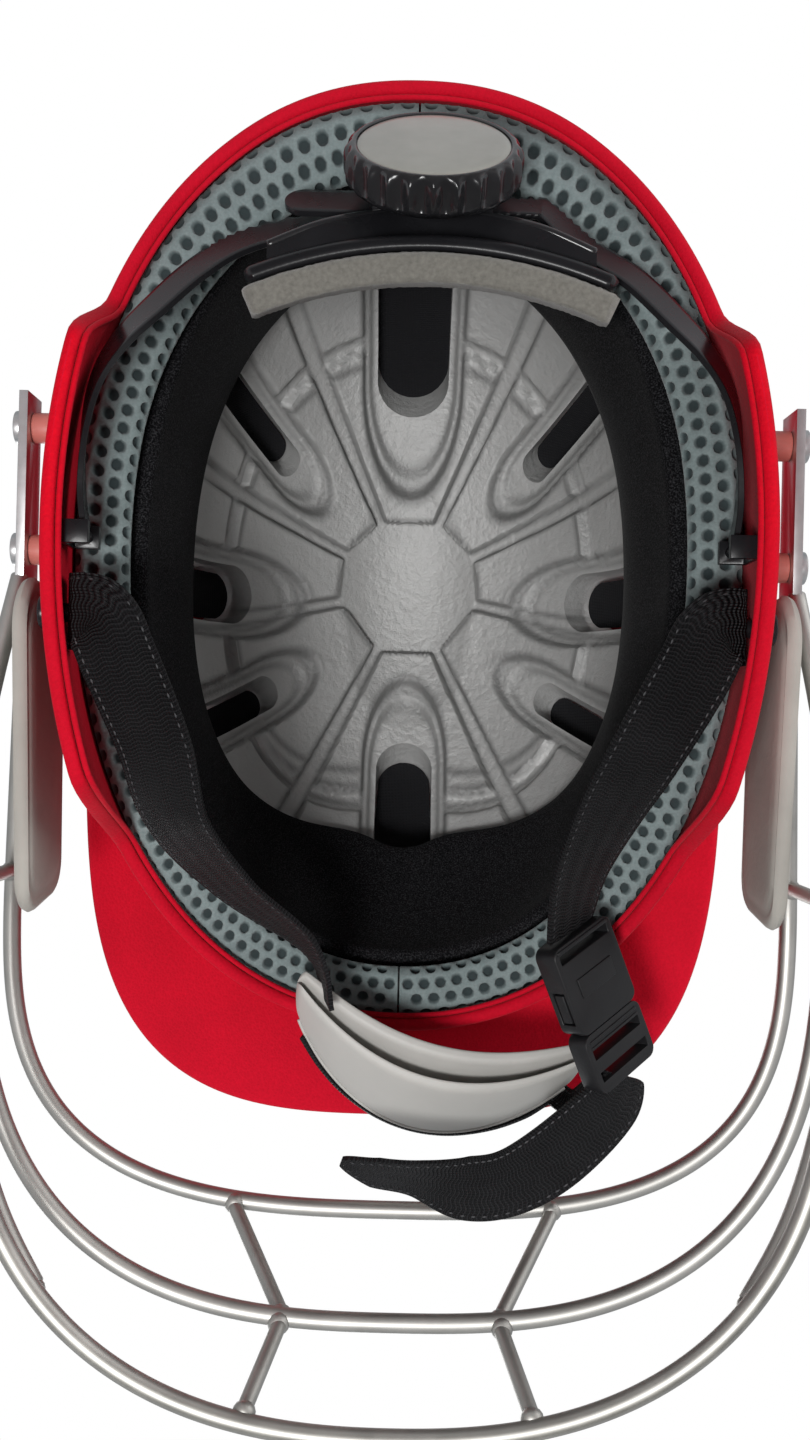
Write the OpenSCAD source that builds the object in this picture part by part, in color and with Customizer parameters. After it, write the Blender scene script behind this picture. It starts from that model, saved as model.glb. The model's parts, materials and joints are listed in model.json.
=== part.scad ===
// A batting helmet with a wire face guard.
// +Z points to the crown, -Y to the face and +X to the wearer's left.
// The helmet stands on the table with its ear flaps and the lowest guard wire.

/* [Shell] */
// Half of the dome's width at its widest level
dome_half_w = 100; // [97:0.5:104]
// Half of the dome's length at its widest level
dome_half_l = 141; // [137:0.5:147]
// Height of the widest level above the table
waist_z = 95; // [92:1:98]
// Rise of the crown above the widest level
dome_rise = 110; // [104:1:116]
// Place of the dome's middle behind the origin
dome_y = 43; // [41:0.5:45]
// Wall of the hard shell
shell_wall = 4; // [3.5:0.1:4.4]
// Height of the shell's edge at the nape
nape_z = 39; // [38:0.5:42]
// Height of the shell's edge at the brow
brow_z = 86; // [84:0.5:90]
// Height of the pads' lower face at the ears
side_pad_z = 28; // [27:0.5:29]

/* [Peak] */
// Half of the peak's width
peak_half_w = 101; // [98:0.5:104]
// Reach of the peak's tip in front of the origin
peak_tip = 128.5; // [124:0.5:132]
// Thickness of the peak
peak_t = 4.5; // [3.5:0.25:5.5]
// Height of the peak's tip
peak_tip_z = 103; // [101:0.5:105]

/* [Liner and pads] */
// Thickness of the moulded liner at its lower edge
liner_low_t = 10; // [9:0.5:11]
// Thickness of the moulded liner in the dome
liner_t = 19; // [17:0.5:20]
// Thickness of the sweat band
band_pad_t = 5.5; // [4.5:0.25:6]
// Height of the sweat band
band_pad_h = 54; // [48:1:56]
// Width of the mesh pad round the opening
mesh_pad_w = 15; // [13:0.5:15.5]
// Width of the mesh pad at the nape
mesh_pad_nape_w = 20.5; // [18:0.5:21]
// Height of the mesh pad round the opening
mesh_pad_h = 9; // [8:0.25:9.5]
// Half width of the widest vent
vent_half_w = 13; // [11:0.5:14]

/* [Face guard] */
// Diameter of the guard's wire
wire_d = 5.2; // [4.6:0.1:5.6]
// Half of the guard's width
guard_half_w = 116; // [114:0.25:117.5]
// Height of the upper wire
top_wire_z = 65; // [62:1:68]
// Height of the middle wire
mid_wire_z = 32; // [30:1:36]
// Reach of the upper wire in front of the origin
top_wire_reach = 146; // [143:0.5:149]
// Reach of the middle wire in front of the origin
mid_wire_reach = 165; // [161:0.5:168]
// Thickness of the guard's side plates
plate_t = 2.5; // [2:0.25:3]
// Diameter of the guard screws
screw_d = 5; // [4:0.5:5]
// Thickness of the foam cheek pads
cheek_pad_t = 5.4; // [4.5:0.2:5.4]

/* [Size adjuster] */
// Radius of the adjuster dial
dial_r = 24; // [21:0.5:24.5]
// Thickness of the adjuster dial
dial_t = 12; // [10:0.5:12.5]
// Number of finger flutes round the dial
dial_flutes = 24; // [16:1:30]
// Tilt of the dial's axis below the horizontal
dial_tilt = 44; // [40:1:46]
// Thickness of the adjuster bands
head_band_t = 1.6; // [1.2:0.1:1.8]
// Width of the adjuster bands
head_band_w = 13; // [11:0.5:13.5]
// Thickness of the foam pad behind the head
nape_pad_t = 8; // [6:0.5:9]
// Height of the foam pad behind the head
nape_pad_h = 30; // [26:1:31]

/* [Chin strap] */
// Width of the chin strap webbing
strap_w = 20; // [18:0.5:20]
// Thickness of the chin strap webbing
strap_t = 1.5; // [1.2:0.1:1.6]
// Length of the chin cup between its tips
cup_l = 90; // [84:1:92]
// Wall of the chin cup
cup_wall = 3.5; // [3:0.25:4]

/* [Hidden] */

gap = 0.3;
wire_r = wire_d / 2;
dome_power = 2.2;
dome_taper = 0.07;
taper_power = 1.2;
crown_z = waist_z + dome_rise;
liner_gap = 2.2;
rows = 13;

// Azimuths round the dome on the wearer's left, closer together where the ear flap ends
left_azimuths = [
    for (a = [-90:7:-48]) a,
    -43, -39, -36, -33, -30, -27, -22, -15, -8, 0, 8, 15, 21, 24, 27, 30, 34,
    for (a = [40:7:82]) a
];
azimuths = [
    for (a = left_azimuths) a,
    90,
    for (i = [len(left_azimuths) - 1:-1:1]) 180 - left_azimuths[i]
];

function lerp(a, b, t) = a + (b - a) * t;
function smooth(t) = let(c = max(0, min(1, t))) c * c * (3 - 2 * c);
function unit(v) = v / norm(v);
function flat(rings) = [for (ring = rings) each ring];
function mirrored(points) = [for (p = points) [-p[0], p[1], p[2]]];
function power_sign(v, e) = sign(v) * pow(abs(v), e);

// Dome surface. A point lies at azimuth a and height z, and inset is its depth under the outer face
function level_scale(z, rise) = z >= waist_z
    ? pow(max(0, 1 - pow((z - waist_z) / rise, dome_power)), 1 / dome_power)
    : 1 - dome_taper * pow((waist_z - z) / waist_z, taper_power);
function plan_radius(a) = pow(pow(abs(cos(a)), dome_power) + pow(abs(sin(a)), dome_power), -1 / dome_power);
function dome_point(a, z, inset) = let(k = level_scale(z, dome_rise - inset), r = plan_radius(a)) [
    (dome_half_w * k - inset * (k > 0.5 ? 1 : k * 2)) * r * cos(a),
    dome_y + (dome_half_l * k - inset * (k > 0.5 ? 1 : k * 2)) * r * sin(a),
    z
];
function toward_rear(a) = asin(sin(a));

// Lower edge of the pads, and of the shell with its ear flaps
flap_front = -26;
flap_rear = 23;
flap_rise = 8;
function pad_edge(a) = let(s = toward_rear(a)) s >= 0
    ? lerp(side_pad_z, nape_z + 3, smooth(s / 60))
    : lerp(side_pad_z, brow_z + 2, smooth(-s / 80));
function flap_edge(s) = lerp(flap_rise, 0, smooth((s - flap_front) / 32));
function shell_edge(a) = let(
    s = toward_rear(a),
    open_edge = pad_edge(a) - 3,
    rear_blend = smooth((s - flap_rear) / 8),
    front_blend = smooth((flap_front - s) / 10)
) s > 0 ? lerp(flap_edge(s), open_edge, rear_blend) : lerp(flap_edge(s), open_edge, front_blend);

function row_height(low, high, i, count) = low + (high - low) * sin(90 * i / count);

// Quads between rings of k points, as triangles that face outwards
function ring_faces(k, ring_count, start, flip) = [
    for (i = [0:ring_count - 2]) for (j = [0:k - 1]) let(
        a = start + i * k + j,
        b = start + i * k + (j + 1) % k,
        c = start + (i + 1) * k + (j + 1) % k,
        d = start + (i + 1) * k + j
    ) each flip ? [[a, b, c], [a, c, d]] : [[a, d, c], [a, c, b]]
];

// A bowl turned down, closed at its apex, between an outer and an inner skin
module bowl(outer, inner, outer_apex, inner_apex) {
    k = len(outer[0]);
    m = len(outer);
    inner_start = k * m;
    apex = 2 * k * m;
    top = (m - 1) * k;
    polyhedron(
        points = concat(flat(outer), flat(inner), [outer_apex, inner_apex]),
        faces = concat(
            ring_faces(k, m, 0, false),
            ring_faces(k, m, inner_start, true),
            [for (j = [0:k - 1]) [top + j, apex, top + (j + 1) % k]],
            [for (j = [0:k - 1]) [inner_start + top + j, inner_start + top + (j + 1) % k, apex + 1]],
            [for (j = [0:k - 1]) each [
                [j, (j + 1) % k, inner_start + (j + 1) % k],
                [j, inner_start + (j + 1) % k, inner_start + j]
            ]]
        ),
        convexity = 6
    );
}

// A solid through a row of rings of k points, with flat ends or joined end to end
module loft(rings, joined = false) {
    k = len(rings[0]);
    m = len(rings);
    all_rings = joined ? concat(rings, []) : rings;
    last = (m - 1) * k;
    polyhedron(
        points = flat(all_rings),
        faces = concat(
            ring_faces(k, m, 0, false),
            joined
                ? [for (j = [0:k - 1]) each [
                    [last + j, j, (j + 1) % k],
                    [last + j, (j + 1) % k, last + (j + 1) % k]
                ]]
                : concat(
                    [for (j = [1:k - 2]) [0, j, j + 1]],
                    [for (j = [1:k - 2]) [last, last + j + 1, last + j]]
                )
        ),
        convexity = 6
    );
}

// Rings of a round wire along a path. Its frame stays level, so no stretch stands upright
function tangent(path, i) = unit(path[min(i + 1, len(path) - 1)] - path[max(i - 1, 0)]);
function wire_ring(p, t, r, sides) = let(e1 = unit(cross(t, [0, 0, 1])), e2 = cross(t, e1)) [
    for (j = [0:sides - 1]) let(q = 360 * j / sides) p + r * (cos(q) * e1 + sin(q) * e2)
];
module wire(path, r = wire_r, sides = 10) {
    loft([for (i = [0:len(path) - 1]) wire_ring(path[i], tangent(path, i), r, sides)]);
}

// A round bar between two points
module bar(from, to, r, fn = 24) {
    d = to - from;
    translate(from)
        rotate([0, acos(d[2] / norm(d)), atan2(d[1], d[0])])
            cylinder(h = norm(d), r = r, $fn = fn);
}

// A flat band along a path. Each station is a point, its width direction and its width
function ribbon_ring(p, across, t, w, thick) = let(
    side = unit(across - t * (across * t)),
    face = cross(t, side)
) [
    p - side * w / 2 - face * thick / 2,
    p + side * w / 2 - face * thick / 2,
    p + side * w / 2 + face * thick / 2,
    p - side * w / 2 + face * thick / 2
];
module ribbon(path, across, widths, thick) {
    loft([for (i = [0:len(path) - 1]) ribbon_ring(path[i], across[i], tangent(path, i), widths[i], thick)]);
}

// A smooth curve through hand-set stations
function curve_at(p, i, u) = let(
    n = len(p) - 1,
    a = p[max(i - 1, 0)],
    b = p[i],
    c = p[min(i + 1, n)],
    d = p[min(i + 2, n)]
) 0.5 * ((2 * b) + (c - a) * u + (2 * a - 5 * b + 4 * c - d) * u * u + (3 * b - a - 3 * c + d) * u * u * u);
function smooth_curve(p, steps) = concat(
    [for (i = [0:len(p) - 2]) for (s = [0:steps - 1]) curve_at(p, i, s / steps)],
    [p[len(p) - 1]]
);

// Vents: azimuth, lowest and highest angle above the waist, half width as a share of the widest
vents = [
    [90, 8, 37, 1], [270, 14, 49, 0.8], [0, 10, 37, 0.8], [180, 10, 37, 0.8],
    [48, 12, 41, 0.42], [132, 12, 41, 0.42], [-34, 14, 43, 0.46], [214, 14, 43, 0.46]
];
module vent_cut(vent, share) {
    r = vent_half_w * vent[3] * share;
    trim = (1 - share) * 8;
    translate([0, dome_y, waist_z])
        hull()
            for (e = [vent[1] + trim, vent[2] - trim])
                rotate([0, 90 - e, vent[0]])
                    translate([0, 0, 40])
                        cylinder(h = 140, r = r, $fn = 20);
}
module vent_cuts(share) {
    for (vent = vents) vent_cut(vent, share);
}

// Shell, peak and edge
screw_y = [45, 79];
screw_z = 40;
insert_r = 4;
hole_gap = 0.1;
anchor_y = 26;
anchor_z = 16;
rivet_r = 2.5;
// Cuts through a side wall start and end this far from the dome's widest place
cut_reach = 20;
cut_from = dome_half_w - cut_reach;
cut_to = dome_half_w + cut_reach;

module both_sides() {
    children();
    mirror([1, 0, 0]) children();
}
module across_wall(y, z, from, to, r, fn = 24) {
    translate([from, y, z]) rotate([0, 90, 0]) cylinder(h = to - from, r = r, $fn = fn);
}
function dome_rings(low_shift, inset) = [
    for (i = [0:rows - 1]) [
        for (a = azimuths)
            dome_point(a, row_height(shell_edge(a) + low_shift, crown_z - inset, i, rows), inset)
    ]
];

module shell() {
    color("crimson")
        difference() {
            bowl(
                dome_rings(0, 0),
                dome_rings(0, shell_wall),
                [0, dome_y, crown_z],
                [0, dome_y, crown_z - shell_wall]
            );
            vent_cuts(0.55);
            both_sides() {
                for (y = screw_y) across_wall(y, screw_z, cut_from, cut_to, insert_r + hole_gap);
                across_wall(anchor_y, anchor_z, cut_from, cut_to, rivet_r + hole_gap);
            }
        }
}

// The rolled fabric hem inside the shell's lower edge, under the pads
binding_r = 0.8;
module edge_binding() {
    path = [for (a = azimuths)
        dome_point(a, shell_edge(a) + binding_r + 0.2, shell_wall + binding_r + 0.1)];
    n = len(path);
    color("firebrick")
        loft([
            for (i = [0:n - 1]) let(t = unit(path[(i + 1) % n] - path[(i + n - 1) % n]))
                wire_ring(path[i], t, binding_r, 6)
        ], true);
}

peak_azimuths = [for (i = [0:34]) -151 + i * 122 / 34];
peak_root_z = 107;
peak_back_y = 7;
peak_side_drop = 9;
peak_power = 3.2;
function peak_outer(a) = let(
    dx = cos(a),
    dy = sin(a),
    reach = peak_tip - peak_back_y,
    r = pow(pow(abs(dx) / peak_half_w, peak_power) + pow(abs(dy) / reach, peak_power), -1 / peak_power)
) [r * dx, -peak_back_y + r * dy];
function peak_ring(a) = let(
    s = (a + 90) / 61,
    z_root = peak_root_z - peak_side_drop * s * s,
    z_edge = peak_tip_z - peak_side_drop * s * s,
    root = dome_point(a, z_root, -gap),
    steer = atan2(root[1] + peak_back_y, root[0]),
    edge = peak_outer(steer),
    out = unit([edge[0] - root[0], edge[1] - root[1]]),
    half = peak_t / 2
) [
    [root[0], root[1], z_root - half],
    [root[0], root[1], z_root + half],
    [edge[0] - out[0] * half, edge[1] - out[1] * half, z_edge + half],
    [edge[0], edge[1], z_edge + half * 0.4],
    [edge[0], edge[1], z_edge - half * 0.4],
    [edge[0] - out[0] * half, edge[1] - out[1] * half, z_edge - half]
];
module peak() {
    color("crimson") loft([for (a = peak_azimuths) peak_ring(a)]);
}

// Liner and pads
liner_outer = shell_wall + liner_gap;
liner_lift = mesh_pad_h + 1;
function liner_depth(a, z) = liner_outer + lerp(liner_low_t, liner_t, smooth((z - pad_edge(a)) / 60));
liner_rows = 11;
liner_azimuths = [for (a = [-90:7.5:262.5]) a];
module liner() {
    color("silver")
        difference() {
            bowl(
                [for (i = [0:liner_rows - 1]) [for (a = liner_azimuths)
                    dome_point(a, row_height(
                        pad_edge(a) + liner_lift, crown_z - liner_outer, i, liner_rows), liner_outer)
                ]],
                [for (i = [0:liner_rows - 1]) [for (a = liner_azimuths)
                    let(z = row_height(
                        pad_edge(a) + liner_lift, crown_z - liner_outer - liner_t, i, liner_rows))
                    dome_point(a, z, liner_depth(a, z))
                ]],
                [0, dome_y, crown_z - liner_outer],
                [0, dome_y, crown_z - liner_outer - liner_t]
            );
            vent_cuts(1);
        }
}

// Black mesh cloth behind each vent, between the shell and the liner
mesh_cloth_t = 0.5;
module vent_mesh() {
    inset = shell_wall + 0.8;
    color("black")
        intersection() {
            bowl(
                [for (i = [0:liner_rows - 1]) [for (a = liner_azimuths)
                    dome_point(a, row_height(70, crown_z - inset, i, liner_rows), inset)
                ]],
                [for (i = [0:liner_rows - 1]) [for (a = liner_azimuths)
                    dome_point(a,
                        row_height(70, crown_z - inset - mesh_cloth_t, i, liner_rows), inset + mesh_cloth_t)
                ]],
                [0, dome_y, crown_z - inset],
                [0, dome_y, crown_z - inset - mesh_cloth_t]
            );
            union() vent_cuts(1.15);
        }
}

band_gap = 1;
front_dip = 10;
function band_height(a) = band_pad_h - front_dip * smooth((-toward_rear(a) - 40) / 50);
module sweat_band() {
    low = liner_lift;
    color("dimgray")
        loft([for (a = [264:-6:-90]) let(
            z0 = pad_edge(a) + low,
            z1 = pad_edge(a) + low + band_height(a) / 2,
            z2 = pad_edge(a) + low + band_height(a),
            out = band_gap,
            inn = band_gap + band_pad_t
        ) [
            dome_point(a, z0, liner_depth(a, z0) + inn),
            dome_point(a, z0, liner_depth(a, z0) + out),
            dome_point(a, z1, liner_depth(a, z1) + out),
            dome_point(a, z2, liner_depth(a, z2) + out),
            dome_point(a, z2, liner_depth(a, z2) + inn),
            dome_point(a, z1, liner_depth(a, z1) + inn)
        ]], true);
}

// Half of the padded ring round the opening, round in section
pad_seam = 1;
function pad_wide(a) = lerp(mesh_pad_w, mesh_pad_nape_w, smooth((toward_rear(a) - 15) / 50));
module mesh_pad() {
    color("slategray")
        loft([for (i = [0:32]) let(
            a = lerp(-90 + pad_seam, 90 - pad_seam, i / 32),
            c = pad_edge(a) + mesh_pad_h / 2,
            w = pad_wide(a),
            inset = shell_wall + 0.5 + w / 2
        ) [for (j = [0:9]) let(
            q = -36 * j,
            across = power_sign(cos(q), 0.7) * w / 2,
            up = power_sign(sin(q), 0.7) * mesh_pad_h / 2
        ) dome_point(a, c + up, inset - across)]]);
}
module mesh_pad_left() mesh_pad();
module mesh_pad_right() mirror([1, 0, 0]) mesh_pad();

// Face guard
wire_front = dome_y + dome_half_l - wire_r;
function hoop(half_w, back_y, reach, power, z, steps) = [
    for (i = [0:steps]) let(q = 180 * i / steps) [
        half_w * power_sign(cos(q), 2 / power),
        back_y - (reach + back_y) * pow(max(0, sin(q)), 2 / power),
        z
    ]
];
top_back_y = -56;
mid_back_y = -48;
bottom_back_y = -76;
bottom_half_w = guard_half_w - 6;
bottom_tip_y = [-48, -55, -66];
bottom_tip_z = [11, 7.5, 4.2];
bottom_tip_in = [0.5, 2, 4.5];
module guard_top_wire() {
    color("lightgray") wire(hoop(guard_half_w - 0.5, top_back_y, top_wire_reach, 3, top_wire_z, 34));
}
module guard_middle_wire() {
    color("lightgray") wire(hoop(guard_half_w, mid_back_y, mid_wire_reach, 2.75, mid_wire_z, 34));
}
module guard_bottom_wire() {
    tip = [for (i = [0:2]) [guard_half_w - bottom_tip_in[i], bottom_tip_y[i], bottom_tip_z[i]]];
    base = hoop(bottom_half_w, bottom_back_y, wire_front, 2.4, wire_r, 30);
    path = concat(tip, base, [for (i = [2:-1:0]) mirrored(tip)[i]]);
    color("lightgray") wire(path);
}
// Four short uprights between the wires in front of the face
upright_r = 2.1;
upright_top_x = 47;
upright_mid_x = 30;
upright_low_x = 37;
upright_low_y = 4.4 - wire_front;
module guard_uprights() {
    color("lightgray")
        both_sides() {
            bar(
                [upright_top_x, 0.5 - top_wire_reach, top_wire_z - wire_r],
                [upright_mid_x, 1 - mid_wire_reach, mid_wire_z + wire_r - 0.1], upright_r
            );
            bar(
                [upright_mid_x, 0.2 - mid_wire_reach, mid_wire_z - wire_r + 0.1],
                [upright_low_x, upright_low_y, 2 * wire_r - 0.1], upright_r
            );
        }
}
// The plates stand this far outside the shell's widest place
plate_clear = 5.5;
plate_x = dome_half_w + plate_clear;
plate_mid_x = plate_x + plate_t / 2;
plate_low_y = 37;
plate_high_y = 88;
plate_h = 14;
rail_front = [guard_half_w - 0.5, top_back_y + 0.2, top_wire_z];
rail_back = [plate_x + wire_r - 0.9, plate_low_y, screw_z + 3];
module guard_rail() {
    color("lightgray") bar(rail_back, rail_front, wire_r, 32);
}
module guard_rail_left() guard_rail();
module guard_rail_right() mirror([1, 0, 0]) guard_rail();
// The cheek wire leaves the plate, swings out to the guard's width and comes in again to the bottom wire
cheek_wire_x = plate_x + wire_r - 0.9;
cheek_wire_out = guard_half_w + 0.1;
cheek_wire_route = [
    [cheek_wire_x, plate_low_y - 0.1, screw_z - 4.5], [lerp(cheek_wire_x, cheek_wire_out, 0.36), 12, 27],
    [lerp(cheek_wire_x, cheek_wire_out, 0.77), -18, 19.5], [cheek_wire_out, -50, 14.5],
    [cheek_wire_out - 2.1, -80, 11.8], [cheek_wire_out - 7.6, -108, 10.2],
    [cheek_wire_out - 15.1, -130, 8.2], [cheek_wire_out - 25.1, -146, 6.8]
];
module guard_cheek_wire() {
    color("lightgray") wire(smooth_curve(cheek_wire_route, 4), wire_r - 0.1);
}
module guard_cheek_wire_left() guard_cheek_wire();
module guard_cheek_wire_right() mirror([1, 0, 0]) guard_cheek_wire();
side_upright_y = -47;
module guard_side_upright() {
    color("lightgray")
        bar([guard_half_w, side_upright_y, 16.4], [guard_half_w - 1, side_upright_y, 61], upright_r);
}
module guard_side_upright_left() guard_side_upright();
module guard_side_upright_right() mirror([1, 0, 0]) guard_side_upright();
module guard_plate() {
    color("gainsboro")
        difference() {
            translate([plate_x, plate_low_y, screw_z - plate_h / 2])
                cube([plate_t, plate_high_y - plate_low_y, plate_h]);
            for (y = screw_y)
                across_wall(y, screw_z, plate_x - 1, plate_x + plate_t + 1, screw_d / 2 + hole_gap, 32);
        }
}
module guard_plate_left() guard_plate();
module guard_plate_right() mirror([1, 0, 0]) guard_plate();
// Where the shell's outer face stands at a screw
function wall_x(y, z) = let(k = level_scale(z, dome_rise)) dome_half_w * k
    * pow(1 - pow(abs(y - dome_y) / (dome_half_l * k), dome_power), 1 / dome_power);
spacer_r = 4.2;
module guard_spacers() {
    color("silver")
        both_sides()
            for (y = screw_y) difference() {
                across_wall(y, screw_z, wall_x(y, screw_z + spacer_r) + 2 * gap, plate_x, spacer_r, 32);
                across_wall(y, screw_z, cut_from, cut_to, screw_d / 2 + hole_gap, 32);
            }
}
screw_head_r = 4.6;
screw_head_t = 2.4;
module guard_screws() {
    color("silver")
        both_sides()
            for (y = screw_y) difference() {
                union() {
                    across_wall(y, screw_z,
                        wall_x(y, screw_z) - shell_wall, plate_x + plate_t + 0.1, screw_d / 2, 32);
                    across_wall(y, screw_z,
                        plate_x + plate_t, plate_x + plate_t + screw_head_t, screw_head_r, 32);
                }
                across_wall(y, screw_z, plate_x + plate_t + screw_head_t - 1.4, cut_to, 1.6, 6);
            }
}
module guard_inserts() {
    color("goldenrod")
        both_sides()
            for (y = screw_y) difference() {
                across_wall(y, screw_z,
                    wall_x(y, screw_z) - shell_wall, wall_x(y, screw_z) - 0.1, insert_r, 32);
                across_wall(y, screw_z, cut_from, cut_to, screw_d / 2 + 0.05, 32);
            }
}
// Foam pads on the inner side of the guard, over the cheeks
cheek_inset = 1.2;
cheek_x = dome_half_w - cheek_inset;
cheek_front_r = 9;
cheek_back_r = 12;
cheek_front = [[-44, 50], [-46, 32]];
cheek_back = [[24, 27], [22, 44]];
module cheek_pad() {
    color("darkgray")
        translate([cheek_x, 0, 0])
            rotate([90, 0, 90])
                linear_extrude(cheek_pad_t)
                    hull() {
                        for (p = cheek_front) translate(p) circle(r = cheek_front_r, $fn = 32);
                        for (p = cheek_back) translate(p) circle(r = cheek_back_r, $fn = 32);
                    }
}
module cheek_pad_left() cheek_pad();
module cheek_pad_right() mirror([1, 0, 0]) cheek_pad();

// Size adjuster: brackets with upright pins at the ears, and a band from each to the housing
pin_inset = 15.5;
pin_x = dome_half_w - pin_inset;
pin_y = 46;
pin_r = 1.5;
knuckle_r = 3;
knuckle_low = 7;
knuckle_high = 17;
running_gap = 0.06;
bracket_x = wall_x(pin_y, knuckle_low - 2.4) - shell_wall - gap;
module band_bracket() {
    color("black")
        union() {
            translate([pin_x, pin_y, knuckle_low - 2.4])
                cylinder(h = knuckle_high - knuckle_low + 4.8, r = pin_r, $fn = 32);
            for (z = [knuckle_low - 2.4, knuckle_high + gap])
                translate([pin_x - knuckle_r, pin_y - knuckle_r, z])
                cube([bracket_x - pin_x + knuckle_r, 2 * knuckle_r, 2.1]);
            translate([bracket_x - 1.2, pin_y - knuckle_r, knuckle_low - 2.4])
                cube([1.2, 2 * knuckle_r, knuckle_high - knuckle_low + 4.8]);
        }
}
module band_bracket_left() band_bracket();
module band_bracket_right() mirror([1, 0, 0]) band_bracket();

dial_x = -4;
dial_y = 152;
dial_z = 17.5;
housing_w = 32;
left_level = -22;
right_level = -17;
left_tip = -26;
right_tip = -36;
rack_w = 11;
rack_end = 24;
window_l = 24;
window_w = 7.2;
rack_mid = (left_level + right_level) / 2;
module at_dial(middle = dial_x) {
    translate([middle, dial_y, dial_z]) rotate([-(90 + dial_tilt), 0, 0]) children();
}
function from_dial(v, middle) = [
    middle + v[0],
    dial_y - v[1] * sin(dial_tilt) + v[2] * cos(dial_tilt),
    dial_z - v[1] * cos(dial_tilt) - v[2] * sin(dial_tilt)
];
rack_across = [0, sin(dial_tilt), cos(dial_tilt)];

// The band's route on the wearer's left, from the knuckle to the housing
band_route = [
    [pin_x - 0.5, pin_y + knuckle_r - 0.6, 12], [pin_x + 0.7, 58, 12.2], [pin_x + 0.5, 72, 13],
    [pin_x - 1.7, 86, 15], [pin_x - 6.9, 97.5, 18], [pin_x - 15.5, 108.5, 21.5],
    [pin_x - 26, 120, 25.5], [pin_x - 38, 129, 29.5]
];
module head_band(level, tip, middle) {
    joint_end = from_dial([rack_end + 6, 0, level], middle);
    rack_start = from_dial([rack_end, 0, level], middle);
    path = concat(smooth_curve(concat(band_route, [joint_end]), 3), [rack_start]);
    n = len(path) - 1;
    across = [for (i = [0:n]) let(t = smooth(i / n * 1.15)) lerp([0, 0, 1], rack_across, t)];
    widths = [for (i = [0:n])
        lerp(knuckle_high - knuckle_low, head_band_w, smooth((i - 2) / 4)) - 2 * smooth((i - n + 5) / 5)];
    color("black")
        difference() {
            union() {
                ribbon(path, across, widths, head_band_t);
                at_dial(middle)
                    translate([tip, -rack_w / 2, level - head_band_t / 2])
                        linear_extrude(head_band_t)
                            difference() {
                                union() {
                                    translate([rack_w / 2, 0])
                                        square([rack_end + 0.5 - tip - rack_w / 2, rack_w]);
                                    translate([rack_w / 2, rack_w / 2]) circle(d = rack_w, $fn = 40);
                                }
                                translate([-tip - window_l / 2, (rack_w - window_w) / 2])
                                    square([window_l, window_w]);
                            }
                translate([pin_x, pin_y, knuckle_low])
                    cylinder(h = knuckle_high - knuckle_low, r = knuckle_r, $fn = 40);
            }
            translate([pin_x, pin_y, 0]) cylinder(h = 40, r = pin_r + running_gap, $fn = 40);
        }
}
module head_band_left() head_band(left_level, left_tip, dial_x);
module head_band_right() mirror([1, 0, 0]) head_band(right_level, right_tip, -dial_x);

slot_gap = 1.15;
slot_h = right_level - left_level + head_band_t + 2 * slot_gap;
slot_w = rack_w + 2 * slot_gap;
housing_h = slot_h + 4;
housing_d = slot_w + 6;
shaft_r = 3;
module adjuster_housing() {
    color("black")
        at_dial()
            difference() {
                union() {
                    translate([-housing_w / 2, -housing_d / 2, rack_mid - housing_h / 2])
                        cube([housing_w, housing_d, housing_h]);
                    translate([0, 0, rack_mid + housing_h / 2 - 0.1])
                        cylinder(h = -dial_t - gap - rack_mid - housing_h / 2 + 0.1,
                            r1 = 10, r2 = 13, $fn = 48);
                }
                translate([-housing_w, -slot_w / 2, rack_mid - slot_h / 2])
                    cube([2 * housing_w, slot_w, slot_h]);
                translate([0, 0, rack_mid]) cylinder(h = 20, r = shaft_r + running_gap, $fn = 40);
            }
}
// The curved plate behind the foam pad, on two legs from the housing
nape_arc_r = 112;
nape_lean = 0.28;
nape_half_angle = 23;
nape_low_z = 8;
carrier_t = 2.4;
leg_l = 6.2;
leg_z = 21.5;
// The plate and the pad lean outwards as they rise, like the back of a head
function leaning(r, z) = r + nape_lean * (z - nape_low_z);
module arc_plate(r_in, thick, low, high, half_angle) {
    near = leaning(r_in, low);
    far = leaning(r_in, high);
    rotate([0, 0, 90 - half_angle])
        rotate_extrude(angle = 2 * half_angle, $fn = 96)
            polygon([[near, low], [near + thick, low], [far + thick, high], [far, high]]);
}
module nape_pad_carrier() {
    back_r = nape_arc_r + nape_pad_t + gap;
    color("black")
        translate([dial_x, 0, 0]) union() {
            arc_plate(back_r, carrier_t, nape_low_z + 3, nape_low_z + nape_pad_h - 2, nape_half_angle);
            for (x = [-9, 9])
                translate([x - 2.5, leaning(back_r, leg_z) + carrier_t - 1.5, leg_z]) cube([5, leg_l, 4.5]);
        }
}
module nape_pad() {
    color("gray")
        translate([dial_x, 0, 0])
            arc_plate(nape_arc_r, nape_pad_t, nape_low_z, nape_low_z + nape_pad_h, nape_half_angle + 1);
}
flute_depth = 0.9;
cap_r = 18;
cap_t = 1.2;
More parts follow.
